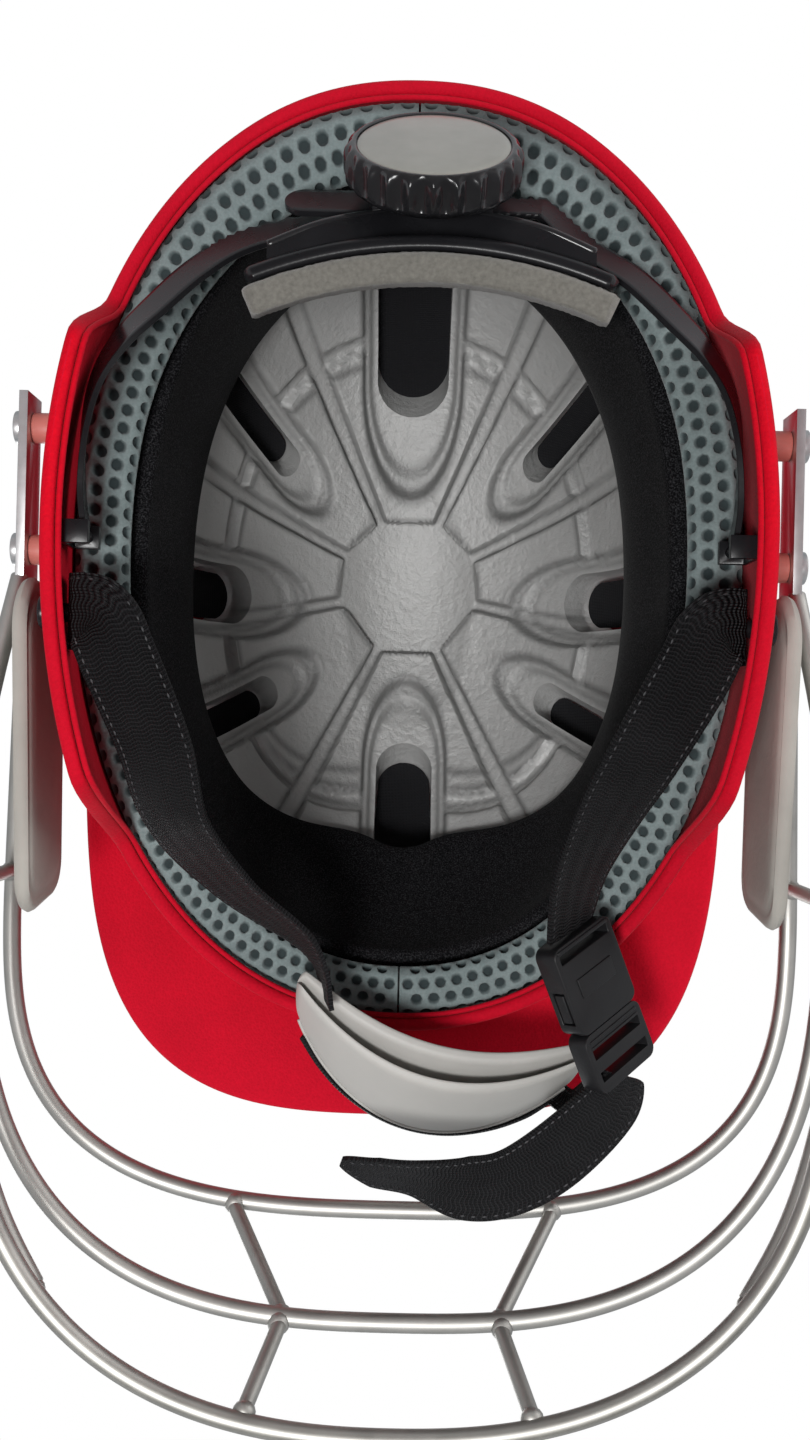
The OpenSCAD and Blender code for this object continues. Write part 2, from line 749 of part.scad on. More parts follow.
module adjuster_dial() {
    color("black")
        at_dial()
            difference() {
                union() {
                    translate([0, 0, -dial_t + 3])
                        linear_extrude(dial_t - 4)
                            polygon([for (i = [0:dial_flutes * 6 - 1]) let(q = 360 * i / (dial_flutes * 6))
                                (dial_r - flute_depth / 2 + flute_depth / 2 * cos(q * dial_flutes))
                                    * [cos(q), sin(q)]
                            ]);
                    translate([0, 0, -1.05])
                        cylinder(h = 1.05, r1 = dial_r - flute_depth, r2 = dial_r - 2, $fn = 72);
                    translate([0, 0, -dial_t])
                        cylinder(h = 3.05, r1 = dial_r - 4, r2 = dial_r - flute_depth, $fn = 72);
                }
                translate([0, 0, -cap_t]) cylinder(h = 3, r = cap_r + 0.1, $fn = 72);
                translate([0, 0, -dial_t - 1]) cylinder(h = 7, r = shaft_r, $fn = 40);
            }
}
module dial_cap() {
    color("silver") at_dial() translate([0, 0, -cap_t]) cylinder(h = cap_t + 0.3, r = cap_r, $fn = 72);
}
pinion_teeth = 8;
module dial_pinion() {
    color("black")
        at_dial()
            union() {
                translate([0, 0, -dial_t + 1]) mirror([0, 0, 1])
                    cylinder(h = 6, r = shaft_r - 0.02, $fn = 40);
                translate([0, 0, -dial_t - 5 + 1.05]) cylinder(h = 4 + 4.9, r = shaft_r - 0.02, $fn = 40);
                translate([0, 0, rack_mid - slot_h / 2 + 0.4])
                    linear_extrude(slot_h - 0.8)
                        polygon([for (i = [0:pinion_teeth * 4 - 1]) let(q = 360 * i / (pinion_teeth * 4))
                            (i % 4 < 2 ? 2.7 : 2) * [cos(q), sin(q)]
                        ]);
            }
}

// Chin strap. It clears the hem as it swings
hem_clear = 1;
strap_x = wall_x(anchor_y - strap_w / 2, 4) - shell_wall - hem_clear - strap_t / 2;
rivet_head_r = 4.4;
module strap_anchor() {
    face = wall_x(anchor_y, anchor_z);
    inner = strap_x - strap_t / 2 - gap;
    color("dimgray")
        union() {
            across_wall(anchor_y, anchor_z, inner, face + 0.5, rivet_r, 32);
            across_wall(anchor_y, anchor_z, face + gap, face + gap + 1.8, rivet_head_r, 32);
            across_wall(anchor_y, anchor_z, inner - 1.4, inner, rivet_head_r, 32);
        }
}
module strap_anchor_left() strap_anchor();
module strap_anchor_right() mirror([1, 0, 0]) strap_anchor();

left_route = [
    [strap_x, 26, 20.5], [strap_x, 26, 11.5], [78.8, 24.5, 7.6], [73.6, 13.5, 8.5],
    [65.6, -8.1, 16], [61.5, -29.5, 31],
    [48.5, -48.7, 48], [31, -64, 60], [23.5, -75, 65], [21.5, -84, 67]
];
left_across = [
    [0, 1, 0], [0, 1, 0], [0, 1, 0], [-0.7, 0.7, 0], [-0.76, 0.55, -0.3], [-0.5, 0.53, -0.66],
    [-0.38, 0.42, -0.82], [-0.3, 0.3, -0.9], [-0.2, 0.1, -0.97], [-0.2, 0, -0.98]
];
right_route = [
    [-strap_x, 26, 20.5], [-strap_x, 26, 11.5], [-78.9, 24.5, 7.6], [-73.1, 13, 8.5],
    [-63.4, -6.8, 15], [-56, -24, 27],
    [-50.2, -42.3, 39], [-48.5, -59.1, 48.3]
];
right_across = [
    [0, 1, 0], [0, 1, 0], [0, 1, 0], [0.7, 0.7, 0], [0.8, 0.5, -0.25], [0.82, 0.3, -0.45],
    [0.8, 0, -0.6], [0.69, -0.39, -0.61]
];
module strap_hole(x) {
    translate([x - 4, anchor_y, anchor_z]) rotate([0, 90, 0])
        cylinder(h = 8, r = rivet_r + hole_gap, $fn = 32);
}
module chin_strap_left() {
    path = smooth_curve(left_route, 3);
    color("black")
        difference() {
            ribbon(path, smooth_curve(left_across, 3), [for (p = path) strap_w], strap_t);
            strap_hole(strap_x);
        }
}
module chin_strap_right() {
    path = smooth_curve(right_route, 3);
    color("black")
        difference() {
            ribbon(path, smooth_curve(right_across, 3), [for (p = path) strap_w], strap_t);
            strap_hole(-strap_x);
        }
}

// Chin cup: a leaning trough that opens downwards. Its own x runs from tip to tip
cup_turn = 13;
cup_mid = [-13, -91.5];
cup_stations = 26;
module at_cup() {
    translate([cup_mid[0], cup_mid[1], 0]) rotate([0, 0, cup_turn]) children();
}
function in_cup(p) = [
    cup_mid[0] + p[0] * cos(cup_turn) - p[1] * sin(cup_turn),
    cup_mid[1] + p[0] * sin(cup_turn) + p[1] * cos(cup_turn),
    p[2]
];
function cup_swell(u) = 0.16 + 0.84 * pow(max(0, 1 - u * u), 0.6);
function cup_sag(u) = -17 * (1 - u * u);
function cup_lip(u) = let(g = cup_swell(u)) [u * cup_l / 2, cup_sag(u) - lerp(1, 19, g), lerp(72, 82, g)];
function cup_top(u) = let(g = cup_swell(u)) [u * cup_l / 2, cup_sag(u) - lerp(0, 13, g), lerp(75, 85.5, g)];
function cup_ring(i) = let(
    u = -1 + 2 * i / (cup_stations - 1),
    x = u * cup_l / 2,
    g = cup_swell(u),
    sag = cup_sag(u),
    w = cup_wall
) [
    [x, sag + lerp(2, 0, g), 61 + 5 * u * u],
    cup_lip(u),
    cup_top(u),
    [x, sag + lerp(5, 13, g), 63 + 5 * u * u],
    [x, sag + lerp(5, 13, g) - min(w, w * (g + 0.2)), 62 + 5 * u * u],
    [x, sag - lerp(-1, 12, g), lerp(71, 80.5, g)],
    [x, sag + lerp(3.4, w, g), 61 + 5 * u * u]
];
module chin_cup() {
    color("darkgray") at_cup() loft([for (i = [cup_stations - 1:-1:0]) cup_ring(i)]);
}
// Webbing that runs round the outside of the cup, from the left strap to the buckle
under_shares = [0.86, 0.7, 0.5, 0.25, 0, -0.25, -0.5, -0.7, -0.86];
under_clear = strap_t / 2 + 0.7;
function under_way(u) = unit(cup_top(u) - cup_lip(u));
function under_point(u) = let(d = under_way(u))
    in_cup((cup_lip(u) + cup_top(u)) / 2 + under_clear * [0, -d[2], d[1]]);
function under_side(u) = in_cup(under_way(u)) - in_cup([0, 0, 0]);
under_route = concat([for (u = under_shares) under_point(u)],
    [in_cup([-44.5, -13.5, 73]), in_cup([-47.5, -4, 63.5])]);
under_across = concat([for (u = under_shares) under_side(u)], [[-0.1, 0.6, 0.8], [-0.1, 0.55, 0.83]]);
under_w = 8;
module chin_strap_under() {
    path = smooth_curve(under_route, 3);
    color("black")
        ribbon(path, smooth_curve(under_across, 3), [for (p = path) under_w], strap_t);
}
tail_route = [
    [-65.8, -101.7, 55.6], [-62, -110.5, 54.6], [-47, -124.5, 53], [-33.4, -132.6, 52], [-20.8, -134.2, 51],
    [-6.9, -131.4, 50], [5.5, -129.6, 49], [15.2, -126.6, 49]
];
tail_across = [
    [-0.69, 0.39, 0.61], [-0.75, -0.5, 0.3], [-0.5, -0.86, 0], [-0.2, -0.97, 0.1], [0.1, -0.97, 0.2],
    [0.25, -0.7, 0.6], [0.2, -0.7, 0.65], [0.3, -0.7, 0.6]
];
tail_widths = [20, 20, 20, 20, 20, 18, 15, 3];
module chin_strap_tail() {
    path = smooth_curve(tail_route, 3);
    color("black")
        ribbon(path, smooth_curve(tail_across, 3), smooth_curve(tail_widths, 3), strap_t);
}

// Side-release buckle. Its own y runs from the plug to the socket, x across and z through
buckle_mid = [-57.2, -80.5, 52];
buckle_az = -22.1;
buckle_pitch = -9.2;
buckle_roll = 38;
buckle_w = 25;
buckle_h = 8;
socket_l = 27;
buckle_wall = 1.6;
prong_gap = 0.5;
module at_buckle() {
    translate(buckle_mid) rotate([0, 0, buckle_az])
        rotate([buckle_pitch, 0, 0]) rotate([0, buckle_roll, 0]) children();
}
module buckle_block(l, w, h, r) {
    linear_extrude(h, center = true)
        offset(r = r, $fn = 24) offset(delta = -r) square([w, l], center = true);
}
module buckle_socket() {
    color("black")
        at_buckle()
            difference() {
                translate([0, socket_l / 2 - 4, 0]) buckle_block(socket_l, buckle_w, buckle_h, 3);
                translate([-buckle_w / 2 + buckle_wall, -8, -buckle_h / 2 + buckle_wall])
                    cube([buckle_w - 2 * buckle_wall, 24, buckle_h - 2 * buckle_wall]);
                for (x = [-buckle_w / 2 - 1, buckle_w / 2 - 2.2])
                    translate([x, 0, -buckle_h / 2 + buckle_wall])
                        cube([3.2, 10, buckle_h - 2 * buckle_wall]);
                translate([-strap_w / 2 - 0.5, 18, -buckle_h]) cube([strap_w + 1, 2.6, 2 * buckle_h]);
            }
}
prong_x = 8.3;
module buckle_plug() {
    color("black")
        at_buckle()
            union() {
                difference() {
                    translate([0, -13.4, 0]) buckle_block(18, buckle_w, buckle_h - 1, 3);
                    for (y = [-12, -19]) translate([-strap_w / 2 - 0.5, y, -buckle_h])
                        cube([strap_w + 1, 3, 2 * buckle_h]);
                }
                translate([-2.2, -5, -1.6]) cube([4.4, 19, 3.2]);
            }
}
// A prong springs outwards in the socket's window, and is squeezed in to open the buckle
module buckle_prong() {
    color("black")
        at_buckle()
            union() {
                translate([prong_x - 1.4, -4.1, -1.7]) cube([2.6, 16, 3.4]);
                translate([prong_x - 1.4, 0.6, -1.7]) cube([5.6, 8.8, 3.4]);
            }
}
module buckle_prong_left() buckle_prong();
module buckle_prong_right() {
    color("black")
        at_buckle()
            mirror([1, 0, 0]) union() {
                translate([prong_x - 1.4, -4.1, -1.7]) cube([2.6, 16, 3.4]);
                translate([prong_x - 1.4, 0.6, -1.7]) cube([5.6, 8.8, 3.4]);
            }
}

shell();
peak();
edge_binding();
liner();
vent_mesh();
sweat_band();
mesh_pad_left();
mesh_pad_right();
guard_top_wire();
guard_middle_wire();
guard_bottom_wire();
guard_uprights();
guard_rail_left();
guard_rail_right();
guard_cheek_wire_left();
guard_cheek_wire_right();
guard_side_upright_left();
guard_side_upright_right();
guard_plate_left();
guard_plate_right();
guard_spacers();
guard_screws();
guard_inserts();
cheek_pad_left();
cheek_pad_right();
band_bracket_left();
band_bracket_right();
head_band_left();
head_band_right();
adjuster_housing();
nape_pad_carrier();
nape_pad();
adjuster_dial();
dial_cap();
dial_pinion();
strap_anchor_left();
strap_anchor_right();
chin_strap_left();
chin_strap_right();
chin_strap_under();
chin_strap_tail();
chin_cup();
buckle_socket();
buckle_plug();
buckle_prong_left();
buckle_prong_right();
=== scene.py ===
# %% [markdown]
# This notebook dresses a batting helmet. The solids of the helmet come from a CAD frame, where every
# piece already has its real size. Here each piece gets a finer surface and a finish made of shader nodes.
# Lengths are in metres. +Z points to the crown, -Y to the face and +X to the wearer's left.

import json
import math
import random

import bmesh
import bpy
import numpy as np
from mathutils import Matrix, Vector


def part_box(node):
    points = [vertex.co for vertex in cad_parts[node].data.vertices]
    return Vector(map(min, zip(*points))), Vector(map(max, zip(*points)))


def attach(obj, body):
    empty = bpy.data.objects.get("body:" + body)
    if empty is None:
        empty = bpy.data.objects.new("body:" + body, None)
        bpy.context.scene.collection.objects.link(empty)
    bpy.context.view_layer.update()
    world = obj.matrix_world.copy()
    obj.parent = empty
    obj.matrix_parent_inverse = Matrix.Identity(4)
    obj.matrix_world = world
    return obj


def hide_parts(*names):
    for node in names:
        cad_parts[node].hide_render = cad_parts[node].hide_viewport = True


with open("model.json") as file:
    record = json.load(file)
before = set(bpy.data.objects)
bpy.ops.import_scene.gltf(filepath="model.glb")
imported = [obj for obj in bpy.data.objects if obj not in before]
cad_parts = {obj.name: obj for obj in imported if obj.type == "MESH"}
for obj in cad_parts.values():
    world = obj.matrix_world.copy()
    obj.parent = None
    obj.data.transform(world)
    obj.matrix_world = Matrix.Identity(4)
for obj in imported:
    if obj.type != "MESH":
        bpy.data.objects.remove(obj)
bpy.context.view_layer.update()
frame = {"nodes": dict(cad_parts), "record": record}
MM = 0.001
LEFT, RIGHT = 1, -1

# %% [markdown]
# The picture looks straight up into the helmet from below. The lens is a short one held close, so
# the face guard, which is nearest, looks much larger than the crown deep inside. A lens of about 34 mm
# on a frame 36 mm tall, 340 mm under the table plane, gives that perspective.

# %% Camera under the helmet
FRAME_TALL_PX = 1440
FOCAL_PX = 1360
SENSOR = 36
CAMERA_DEPTH = 0.340
CAMERA_ROLL = math.radians(1.4)

camera_data = bpy.data.cameras.new("camera")
camera_data.sensor_width = camera_data.sensor_height = SENSOR
camera_data.lens = SENSOR * FOCAL_PX / FRAME_TALL_PX
camera = bpy.data.objects.new("camera", camera_data)
bpy.context.scene.collection.objects.link(camera)
camera.location = (0, 0, -CAMERA_DEPTH)
camera.rotation_euler = (math.pi, 0, math.pi - CAMERA_ROLL)
camera_data.clip_start = 0.01
camera_data.clip_end = 20
bpy.context.scene.camera = camera
print("camera made, lens", round(camera_data.lens, 1), "mm")

# %% [markdown]
# Shader maths is easier to read as an expression than as a list of links. A small class wraps a socket:
# adding or multiplying two of them makes the Math node behind the scenes, and a plain number may stand
# on the right.

# %% A socket that can be used in sums
class Field:
    def __init__(self, finish, socket):
        self.finish = finish
        self.socket = socket

    def math(self, operation, other=None):
        return self.finish.node("ShaderNodeMath", {"operation": operation}, {0: self, 1: other})

    def __add__(self, other):
        return self.math("ADD", other)

    def __sub__(self, other):
        return self.math("SUBTRACT", other)

    def __mul__(self, other):
        return self.math("MULTIPLY", other)

    def sine(self):
        return self.math("SINE")

    def size(self):
        return self.math("ABSOLUTE")


print("sockets can be added and multiplied")

# %% [markdown]
# Finish holds one material and makes its other nodes. Noise and cells are laid out in the metres of the
# piece itself, so a scale of 1000 means features of about a millimetre.

# %% One material and the nodes in it
OBJECT_OUTPUT = 3
FACTOR_OUTPUT = 2
BACKFACING_OUTPUT = 6
MIX_COLOURS = (6, 7)
MIX_RESULT = 2


class Finish:
    def __init__(self, name, **constants):
        self.material = bpy.data.materials.new(name)
        self.material.use_nodes = True
        self.tree = self.material.node_tree
        self.tree.nodes.clear()
        output = self.tree.nodes.new("ShaderNodeOutputMaterial")
        self.shader = self.tree.nodes.new("ShaderNodeBsdfPrincipled")
        self.tree.links.new(self.shader.outputs[0], output.inputs[0])
        for name, value in constants.items():
            self.shader.inputs[name.replace("_", " ")].default_value = value

    def node(self, kind, settings=None, inputs=None, output=0):
        made = self.tree.nodes.new(kind)
        for name, value in (settings or {}).items():
            setattr(made, name, value)
        for key, value in (inputs or {}).items():
            self.feed(made.inputs[key], value)
        return Field(self, made.outputs[output])

    def feed(self, socket, value):
        if isinstance(value, Field):
            self.tree.links.new(value.socket, socket)
        elif value is not None:
            socket.default_value = value

    def set(self, name, value):
        self.feed(self.shader.inputs[name], value)

    def place(self):
        return self.node("ShaderNodeTexCoord", output=OBJECT_OUTPUT)

    def stored(self, name):
        return self.node("ShaderNodeAttribute", {"attribute_name": name}, output=FACTOR_OUTPUT)

    def two_parts(self, vector):
        parts = self.tree.nodes.new("ShaderNodeSeparateXYZ")
        self.feed(parts.inputs[0], vector)
        return Field(self, parts.outputs[0]), Field(self, parts.outputs[1])

    def noise(self, scale, detail, rough=0.55):
        inputs = {"Vector": self.place(), "Scale": scale, "Detail": detail, "Roughness": rough}
        return self.node("ShaderNodeTexNoise", inputs=inputs)

    def cells(self, scale, feature="F1"):
        inputs = {"Vector": self.place(), "Scale": scale}
        return self.node("ShaderNodeTexVoronoi", {"feature": feature}, inputs)

    def ramp(self, factor, low, high):
        made = self.tree.nodes.new("ShaderNodeValToRGB")
        self.feed(made.inputs[0], factor)
        for element, (place, colour) in zip(made.color_ramp.elements, (low, high)):
            element.position = place
            element.color = (*colour, 1)
        return Field(self, made.outputs[0])

    def blend(self, factor, first, second):
        made = self.tree.nodes.new("ShaderNodeMix")
        made.data_type = "RGBA"
        self.feed(made.inputs[0], factor)
        for socket, colour in zip(MIX_COLOURS, (first, second)):
            self.feed(made.inputs[socket], colour if isinstance(colour, Field) else (*colour, 1))
        return Field(self, made.outputs[MIX_RESULT])

    def bump(self, height, depth, strength):
        inputs = {"Height": height, "Distance": depth, "Strength": strength}
        return self.node("ShaderNodeBump", inputs=inputs)


print("shader helpers ready")

# %% [markdown]
# The shell and peak are covered in a fine red knit, stretched tight. Its stitches are under a millimetre
# across, so the weave is a bump of small cells. Cells look the same from every side, where level rows
# would draw rings on the crown. A soft change of colour over the cloth does the rest.

# %% Red knit
def red_knit():
    f = Finish("red_knit", Roughness=0.8, Sheen_Weight=0.03, Sheen_Roughness=0.5, Specular_IOR_Level=0.12)
    stitches = f.cells(1150)
    wear = f.noise(38, 5)
    deep, bright = (0.36, 0.0005, 0.010), (0.57, 0.0012, 0.018)
    f.set("Base Color", f.blend(wear * 0.75 + stitches * 0.35 - 0.02, deep, bright))
    f.set("Normal", f.bump(f.noise(900, 2) * 0.4 - stitches * 0.6, 0.00025, 0.7))
    return f.material


KNIT = red_knit()
print("made", KNIT.name)

# %% [markdown]
# The pad round the opening is a spacer mesh: an open blue-grey net over a darker core. The holes are real
# geometry further down, and a number stored on the mesh says how deep each point lies in a hole. The colour
# darkens with that depth: partly the darker core, partly painted shade in the pits.

# %% Blue-grey spacer mesh
def spacer_mesh():
    f = Finish("spacer_mesh", Roughness=0.85, Sheen_Weight=0.2, Specular_IOR_Level=0.25)
    depth = f.stored("hole_core_and_shade")
    yarn = f.noise(1300, 3) * 0.6 + f.noise(160, 3) * 0.4
    net = f.blend(yarn, (0.085, 0.115, 0.118), (0.27, 0.325, 0.322))
    # The hole colour is partly the darker core and partly painted shade that deepens towards the bottom of
    # each pit.
    f.set("Base Color", f.blend(depth, net, (0.026, 0.038, 0.040)))
    f.set("Normal", f.bump(f.noise(1500, 2), 0.0002, 0.5))
    return f.material


SPACER = spacer_mesh()
print("made", SPACER.name)

# %% [markdown]
# Black cloth looks flat unless it has some lint and nap. The sweat band is a brushed jersey: almost
# black, with paler specks of nap that catch the light. The cloth in the vents is a plain net.

# %% Black cloths
def black_jersey():
    f = Finish(
        "black_jersey", Roughness=0.95, Sheen_Weight=0.03, Sheen_Roughness=0.4, Specular_IOR_Level=0.06
    )
    nap = f.noise(2200, 2)
    specks = f.ramp(nap, (0.45, (0.003, 0.003, 0.0035)), (0.72, (0.035, 0.035, 0.038)))
    f.set("Base Color", specks)
    f.set("Normal", f.bump(nap * 0.7 + f.noise(300, 3) * 0.5, 0.00025, 0.6))
    return f.material


def vent_net():
    f = Finish("vent_net", Roughness=0.9, Specular_IOR_Level=0.25)
    x, y = f.two_parts(f.place())
    per_metre = math.tau / (1.1 * MM)
    threads = ((x + y) * per_metre).sine() * ((x - y) * per_metre).sine()
    f.set("Base Color", f.blend(threads.size(), (0.004, 0.004, 0.005), (0.02, 0.02, 0.023)))
    f.set("Normal", f.bump(threads, 0.0003, 0.7))
    return f.material


JERSEY = black_jersey()
VENT_NET = vent_net()
print("made", JERSEY.name, "and", VENT_NET.name)

# %% [markdown]
# The liner is foam with a silver-grey skin. The skin has the fine wrinkles and pits of the mould, so
# cells and two sizes of noise make its bump, and its gloss varies a little where hands have rubbed it.
# A number stored on the mesh paints shade into the colour along the edges of its raised panels, where their
# slopes would lie in shadow.

# %% Silver liner skin
def liner_skin():
    f = Finish("liner_skin", Metallic=0.35, Specular_IOR_Level=0.45)
    wrinkles = f.cells(230, "DISTANCE_TO_EDGE")
    pits = f.noise(420, 6, 0.7)
    clouds = f.noise(26, 4)
    edge = f.stored("panel_slope_shade")
    silver = f.blend(clouds, (0.40, 0.40, 0.395), (0.58, 0.58, 0.57))
    # Painted shade: the stored number darkens the silver along the slopes of the raised panels and collars.
    f.set("Base Color", f.blend(edge * 0.7, silver, (0.12, 0.12, 0.118)))
    f.set("Roughness", clouds * 0.12 + pits * 0.15 + 0.36)
    f.set("Normal", f.bump(wrinkles * 0.5 + pits * 0.9 + f.noise(120, 4) * 0.7, 0.0011, 0.6))
    return f.material


LINER_SKIN = liner_skin()
print("made", LINER_SKIN.name)

# %% [markdown]
# The guard is welded steel wire with a satin polish. Long scratches would need a direction along each
# wire, so the finish keeps to a mottled roughness and a very fine grain.

# %% Steel and brass
def metal(name, dark, light, rough, grain):
    f = Finish(name, Metallic=1.0)
    mottle = f.noise(grain, 3)
    f.set("Base Color", f.blend(mottle, dark, light))
    f.set("Roughness", mottle * 0.12 + rough)
    f.set("Normal", f.bump(f.noise(grain * 6, 2), 0.00001, 0.15))
    return f.material


STEEL = metal("satin_steel", (0.33, 0.325, 0.305), (0.48, 0.47, 0.445), 0.42, 90)
PLATE_STEEL = metal("brushed_plate", (0.42, 0.42, 0.42), (0.56, 0.56, 0.56), 0.28, 220)
BRASS = metal("turned_brass", (0.45, 0.30, 0.10), (0.66, 0.47, 0.18), 0.28, 300)
print("made", STEEL.name, PLATE_STEEL.name, BRASS.name)

# %% [markdown]
# Plain plastics differ mostly in gloss. The adjuster and buckle are a smooth black nylon with faint
# flow marks. The dial's cap and the chin cup are greys, one satin and one soft like rubber. The same
# recipe, rougher and with a deeper grain, makes the felt and the foam.

# %% Plastics, foam and rubber
def plastic(name, dark, light, rough, pattern, bump_depth, **constants):
    f = Finish(name, **constants)
    clouds = f.noise(pattern, 4)
    f.set("Base Color", f.blend(clouds, dark, light))
    f.set("Roughness", clouds * 0.16 + rough)
    f.set("Normal", f.bump(f.noise(pattern * 9, 3), bump_depth, 0.4))
    return f.material


BLACK_NYLON = plastic(
    "black_nylon", (0.006, 0.006, 0.007), (0.014, 0.014, 0.016), 0.2, 60, 0.00008, Specular_IOR_Level=0.3
)
BUCKLE_NYLON = plastic(
    "buckle_nylon", (0.006, 0.006, 0.007), (0.012, 0.012, 0.013), 0.3, 90, 0.00012, Specular_IOR_Level=0.3
)
CAP_GREY = plastic("cap_grey", (0.20, 0.20, 0.175), (0.44, 0.435, 0.40), 0.14, 38, 0.00004, Coat_Weight=0.3)
DIAL_NYLON = plastic(
    "dial_nylon", (0.008, 0.008, 0.009), (0.020, 0.020, 0.022), 0.12, 60, 0.00005, Coat_Weight=0.5
)
CUP_RUBBER = plastic("cup_rubber", (0.33, 0.325, 0.305), (0.46, 0.45, 0.425), 0.45, 30, 0.00016)
FELT = plastic("grey_felt", (0.085, 0.08, 0.07), (0.26, 0.25, 0.22), 0.85, 900, 0.0006, Sheen_Weight=0.3)
STRIP_FOAM = plastic("strip_foam", (0.26, 0.25, 0.225), (0.38, 0.37, 0.335), 0.7, 55, 0.00025)
SPACER_RED = plastic("red_spacer", (0.42, 0.11, 0.09), (0.60, 0.22, 0.18), 0.35, 80, 0.00005)
print("made eight plastics and foams")

# %% [markdown]
# Webbing is woven with ribs across the band that sway a little to and fro, like a soft herringbone.
# Each strap mesh carries a map of metres along and across it for this.

# %% Woven webbing
def webbing():
    f = Finish("black_webbing", Roughness=0.5, Specular_IOR_Level=0.2)
    along, across = f.two_parts(f.node("ShaderNodeUVMap", {"uv_map": "weave"}))
    sway = (across * (math.tau / (5.0 * MM))).sine() * (0.35 * MM)
    ribs = ((along + sway) * (math.tau / (1.15 * MM))).sine()
    yarns = (across * (math.tau / (0.8 * MM))).sine()
    weave = ribs * 0.7 + yarns * 0.35
    shade = weave * 0.4 + f.noise(90, 3) * 0.6
    f.set("Base Color", f.blend(shade, (0.003, 0.003, 0.0035), (0.020, 0.020, 0.022)))
    f.set("Roughness", weave * 0.1 + 0.55)
    f.set("Normal", f.bump(weave, 0.0004, 0.95))
    return f.material


WEBBING = webbing()
print("made", WEBBING.name)

# %% [markdown]
# Most pieces are surfaces with rows and columns of points, like a sheet of graph paper that is bent
# into place. Each row is a closed ring. One helper makes the faces of such a grid, one also closes its
# two ends, and another makes the Blender object.

# %% Helpers for grid meshes
EDGE_ANGLE = 35
SHADE_ANGLE = 40


def grid_faces(rows, columns, close_rows=False, start=0):
    faces = []
    for i in range(rows if close_rows else rows - 1):
        for j in range(columns):
            a = start + i * columns + j
            b = start + i * columns + (j + 1) % columns
            c = start + ((i + 1) % rows) * columns + (j + 1) % columns
            d = start + ((i + 1) % rows) * columns + j
            faces.append((a, b, c, d))
    return faces


def closed_faces(rows, columns, start=0):
    last = start + (rows - 1) * columns
    faces = grid_faces(rows, columns, start=start)
    faces.append(tuple(start + j for j in range(columns)))
    faces.append(tuple(last + j for j in reversed(range(columns))))
    return faces


def add_object(name, data):
    thing = bpy.data.objects.new(name, data)
    bpy.context.scene.collection.objects.link(thing)
    return thing


def hand_over(piece, body, replaces=()):
    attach(piece, body)
    if replaces:
        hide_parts(*replaces)
    return piece


def make_piece(name, points, faces, finish, body, replaces=(), smooth_angle=SHADE_ANGLE):
    mesh = bpy.data.meshes.new(name)
    mesh.from_pydata([tuple(map(float, p)) for p in points], [], faces)
    mesh.materials.append(finish)
    piece = add_object(name, mesh)
    turn_outward(mesh)
    soften(mesh, smooth_angle)
    return hand_over(piece, body, replaces)


def store_number(piece, name, values):
    stored = piece.data.attributes.new(name, "FLOAT", "POINT")
    stored.data.foreach_set("value", values)


def turn_outward(mesh):
    work = bmesh.new()
    work.from_mesh(mesh)
    bmesh.ops.recalc_face_normals(work, faces=work.faces)
    work.to_mesh(mesh)
    work.free()


def soften(mesh, angle):
    mesh.shade_smooth()
    mesh.set_sharp_from_angle(angle=math.radians(angle))


print("mesh helpers ready")

# %% [markdown]
# Hard pieces whose solid already has the right shape only want soft edges, because no moulded or
# machined edge is perfectly sharp. This helper copies the solid, bevels the copy and shows it instead.

# %% Helper that dresses a solid
def dressed(node, finish, body, bevel, segments=2):
    mesh = frame["nodes"][node].data.copy()
    work = bmesh.new()
    work.from_mesh(mesh)
    bmesh.ops.remove_doubles(work, verts=work.verts, dist=0.01 * MM)
    bmesh.ops.dissolve_limit(work, angle_limit=math.radians(1), verts=work.verts, edges=work.edges)
    work.to_mesh(mesh)
    work.free()
    mesh.materials.clear()
    mesh.materials.append(finish)
    mesh.name = node + "_dressed"
    piece = add_object(mesh.name, mesh)
    round_edges(piece, bevel, segments)
    return hand_over(piece, body, [node])


def round_edges(piece, bevel, segments):
    edge = piece.modifiers.new("soft edge", "BEVEL")
    edge.width = bevel
    edge.segments = segments
    edge.limit_method = "ANGLE"
    edge.angle_limit = math.radians(EDGE_ANGLE)
    apply_modifiers(piece)
    soften(piece.data, SHADE_ANGLE)


def apply_modifiers(piece):
    graph = bpy.context.evaluated_depsgraph_get()
    made = bpy.data.meshes.new_from_object(piece.evaluated_get(graph))
    old = piece.data
    piece.modifiers.clear()
    piece.data = made
    made.name = old.name
    bpy.data.meshes.remove(old)


print("dressing helper ready")

# %% [markdown]
# The floor is the table plane. The camera is under it, so the floor shows only its upper side and is
# clear from below. White all round comes from the world, which only the camera sees as white. Two soft
# panels light the helmet from below, as the room did, and a third one hangs above it, ahead of the peak.

# %% Floor, backdrop and lights
FLOOR_HALF = 3.0
ROOM_LEVEL = 0.5
PANELS = [
    ("room_light", (0.14, -0.20, -0.75), (0, 0.03, 0.1), (0.22, 0.18), 6),
    ("window_side", (-1.0, 0.5, -0.35), (0, 0.03, 0.1), (0.7, 0.7), 7),
    ("sky_light", (0.4, -0.8, 1.5), (0, 0, 0.1), (1.2, 1.2), 12),
]


def clear_from_below():
    f = Finish("floor_white", Roughness=0.9, Specular_IOR_Level=0.1)
    f.shader.inputs["Base Color"].default_value = (0.86, 0.86, 0.86, 1)
    clear = f.tree.nodes.new("ShaderNodeBsdfTransparent")
    mix = f.tree.nodes.new("ShaderNodeMixShader")
    f.feed(mix.inputs[0], f.node("ShaderNodeNewGeometry", output=BACKFACING_OUTPUT))
    f.tree.links.new(f.shader.outputs[0], mix.inputs[1])
    f.tree.links.new(clear.outputs[0], mix.inputs[2])
    f.tree.links.new(mix.outputs[0], f.tree.nodes["Material Output"].inputs[0])
    return f.material


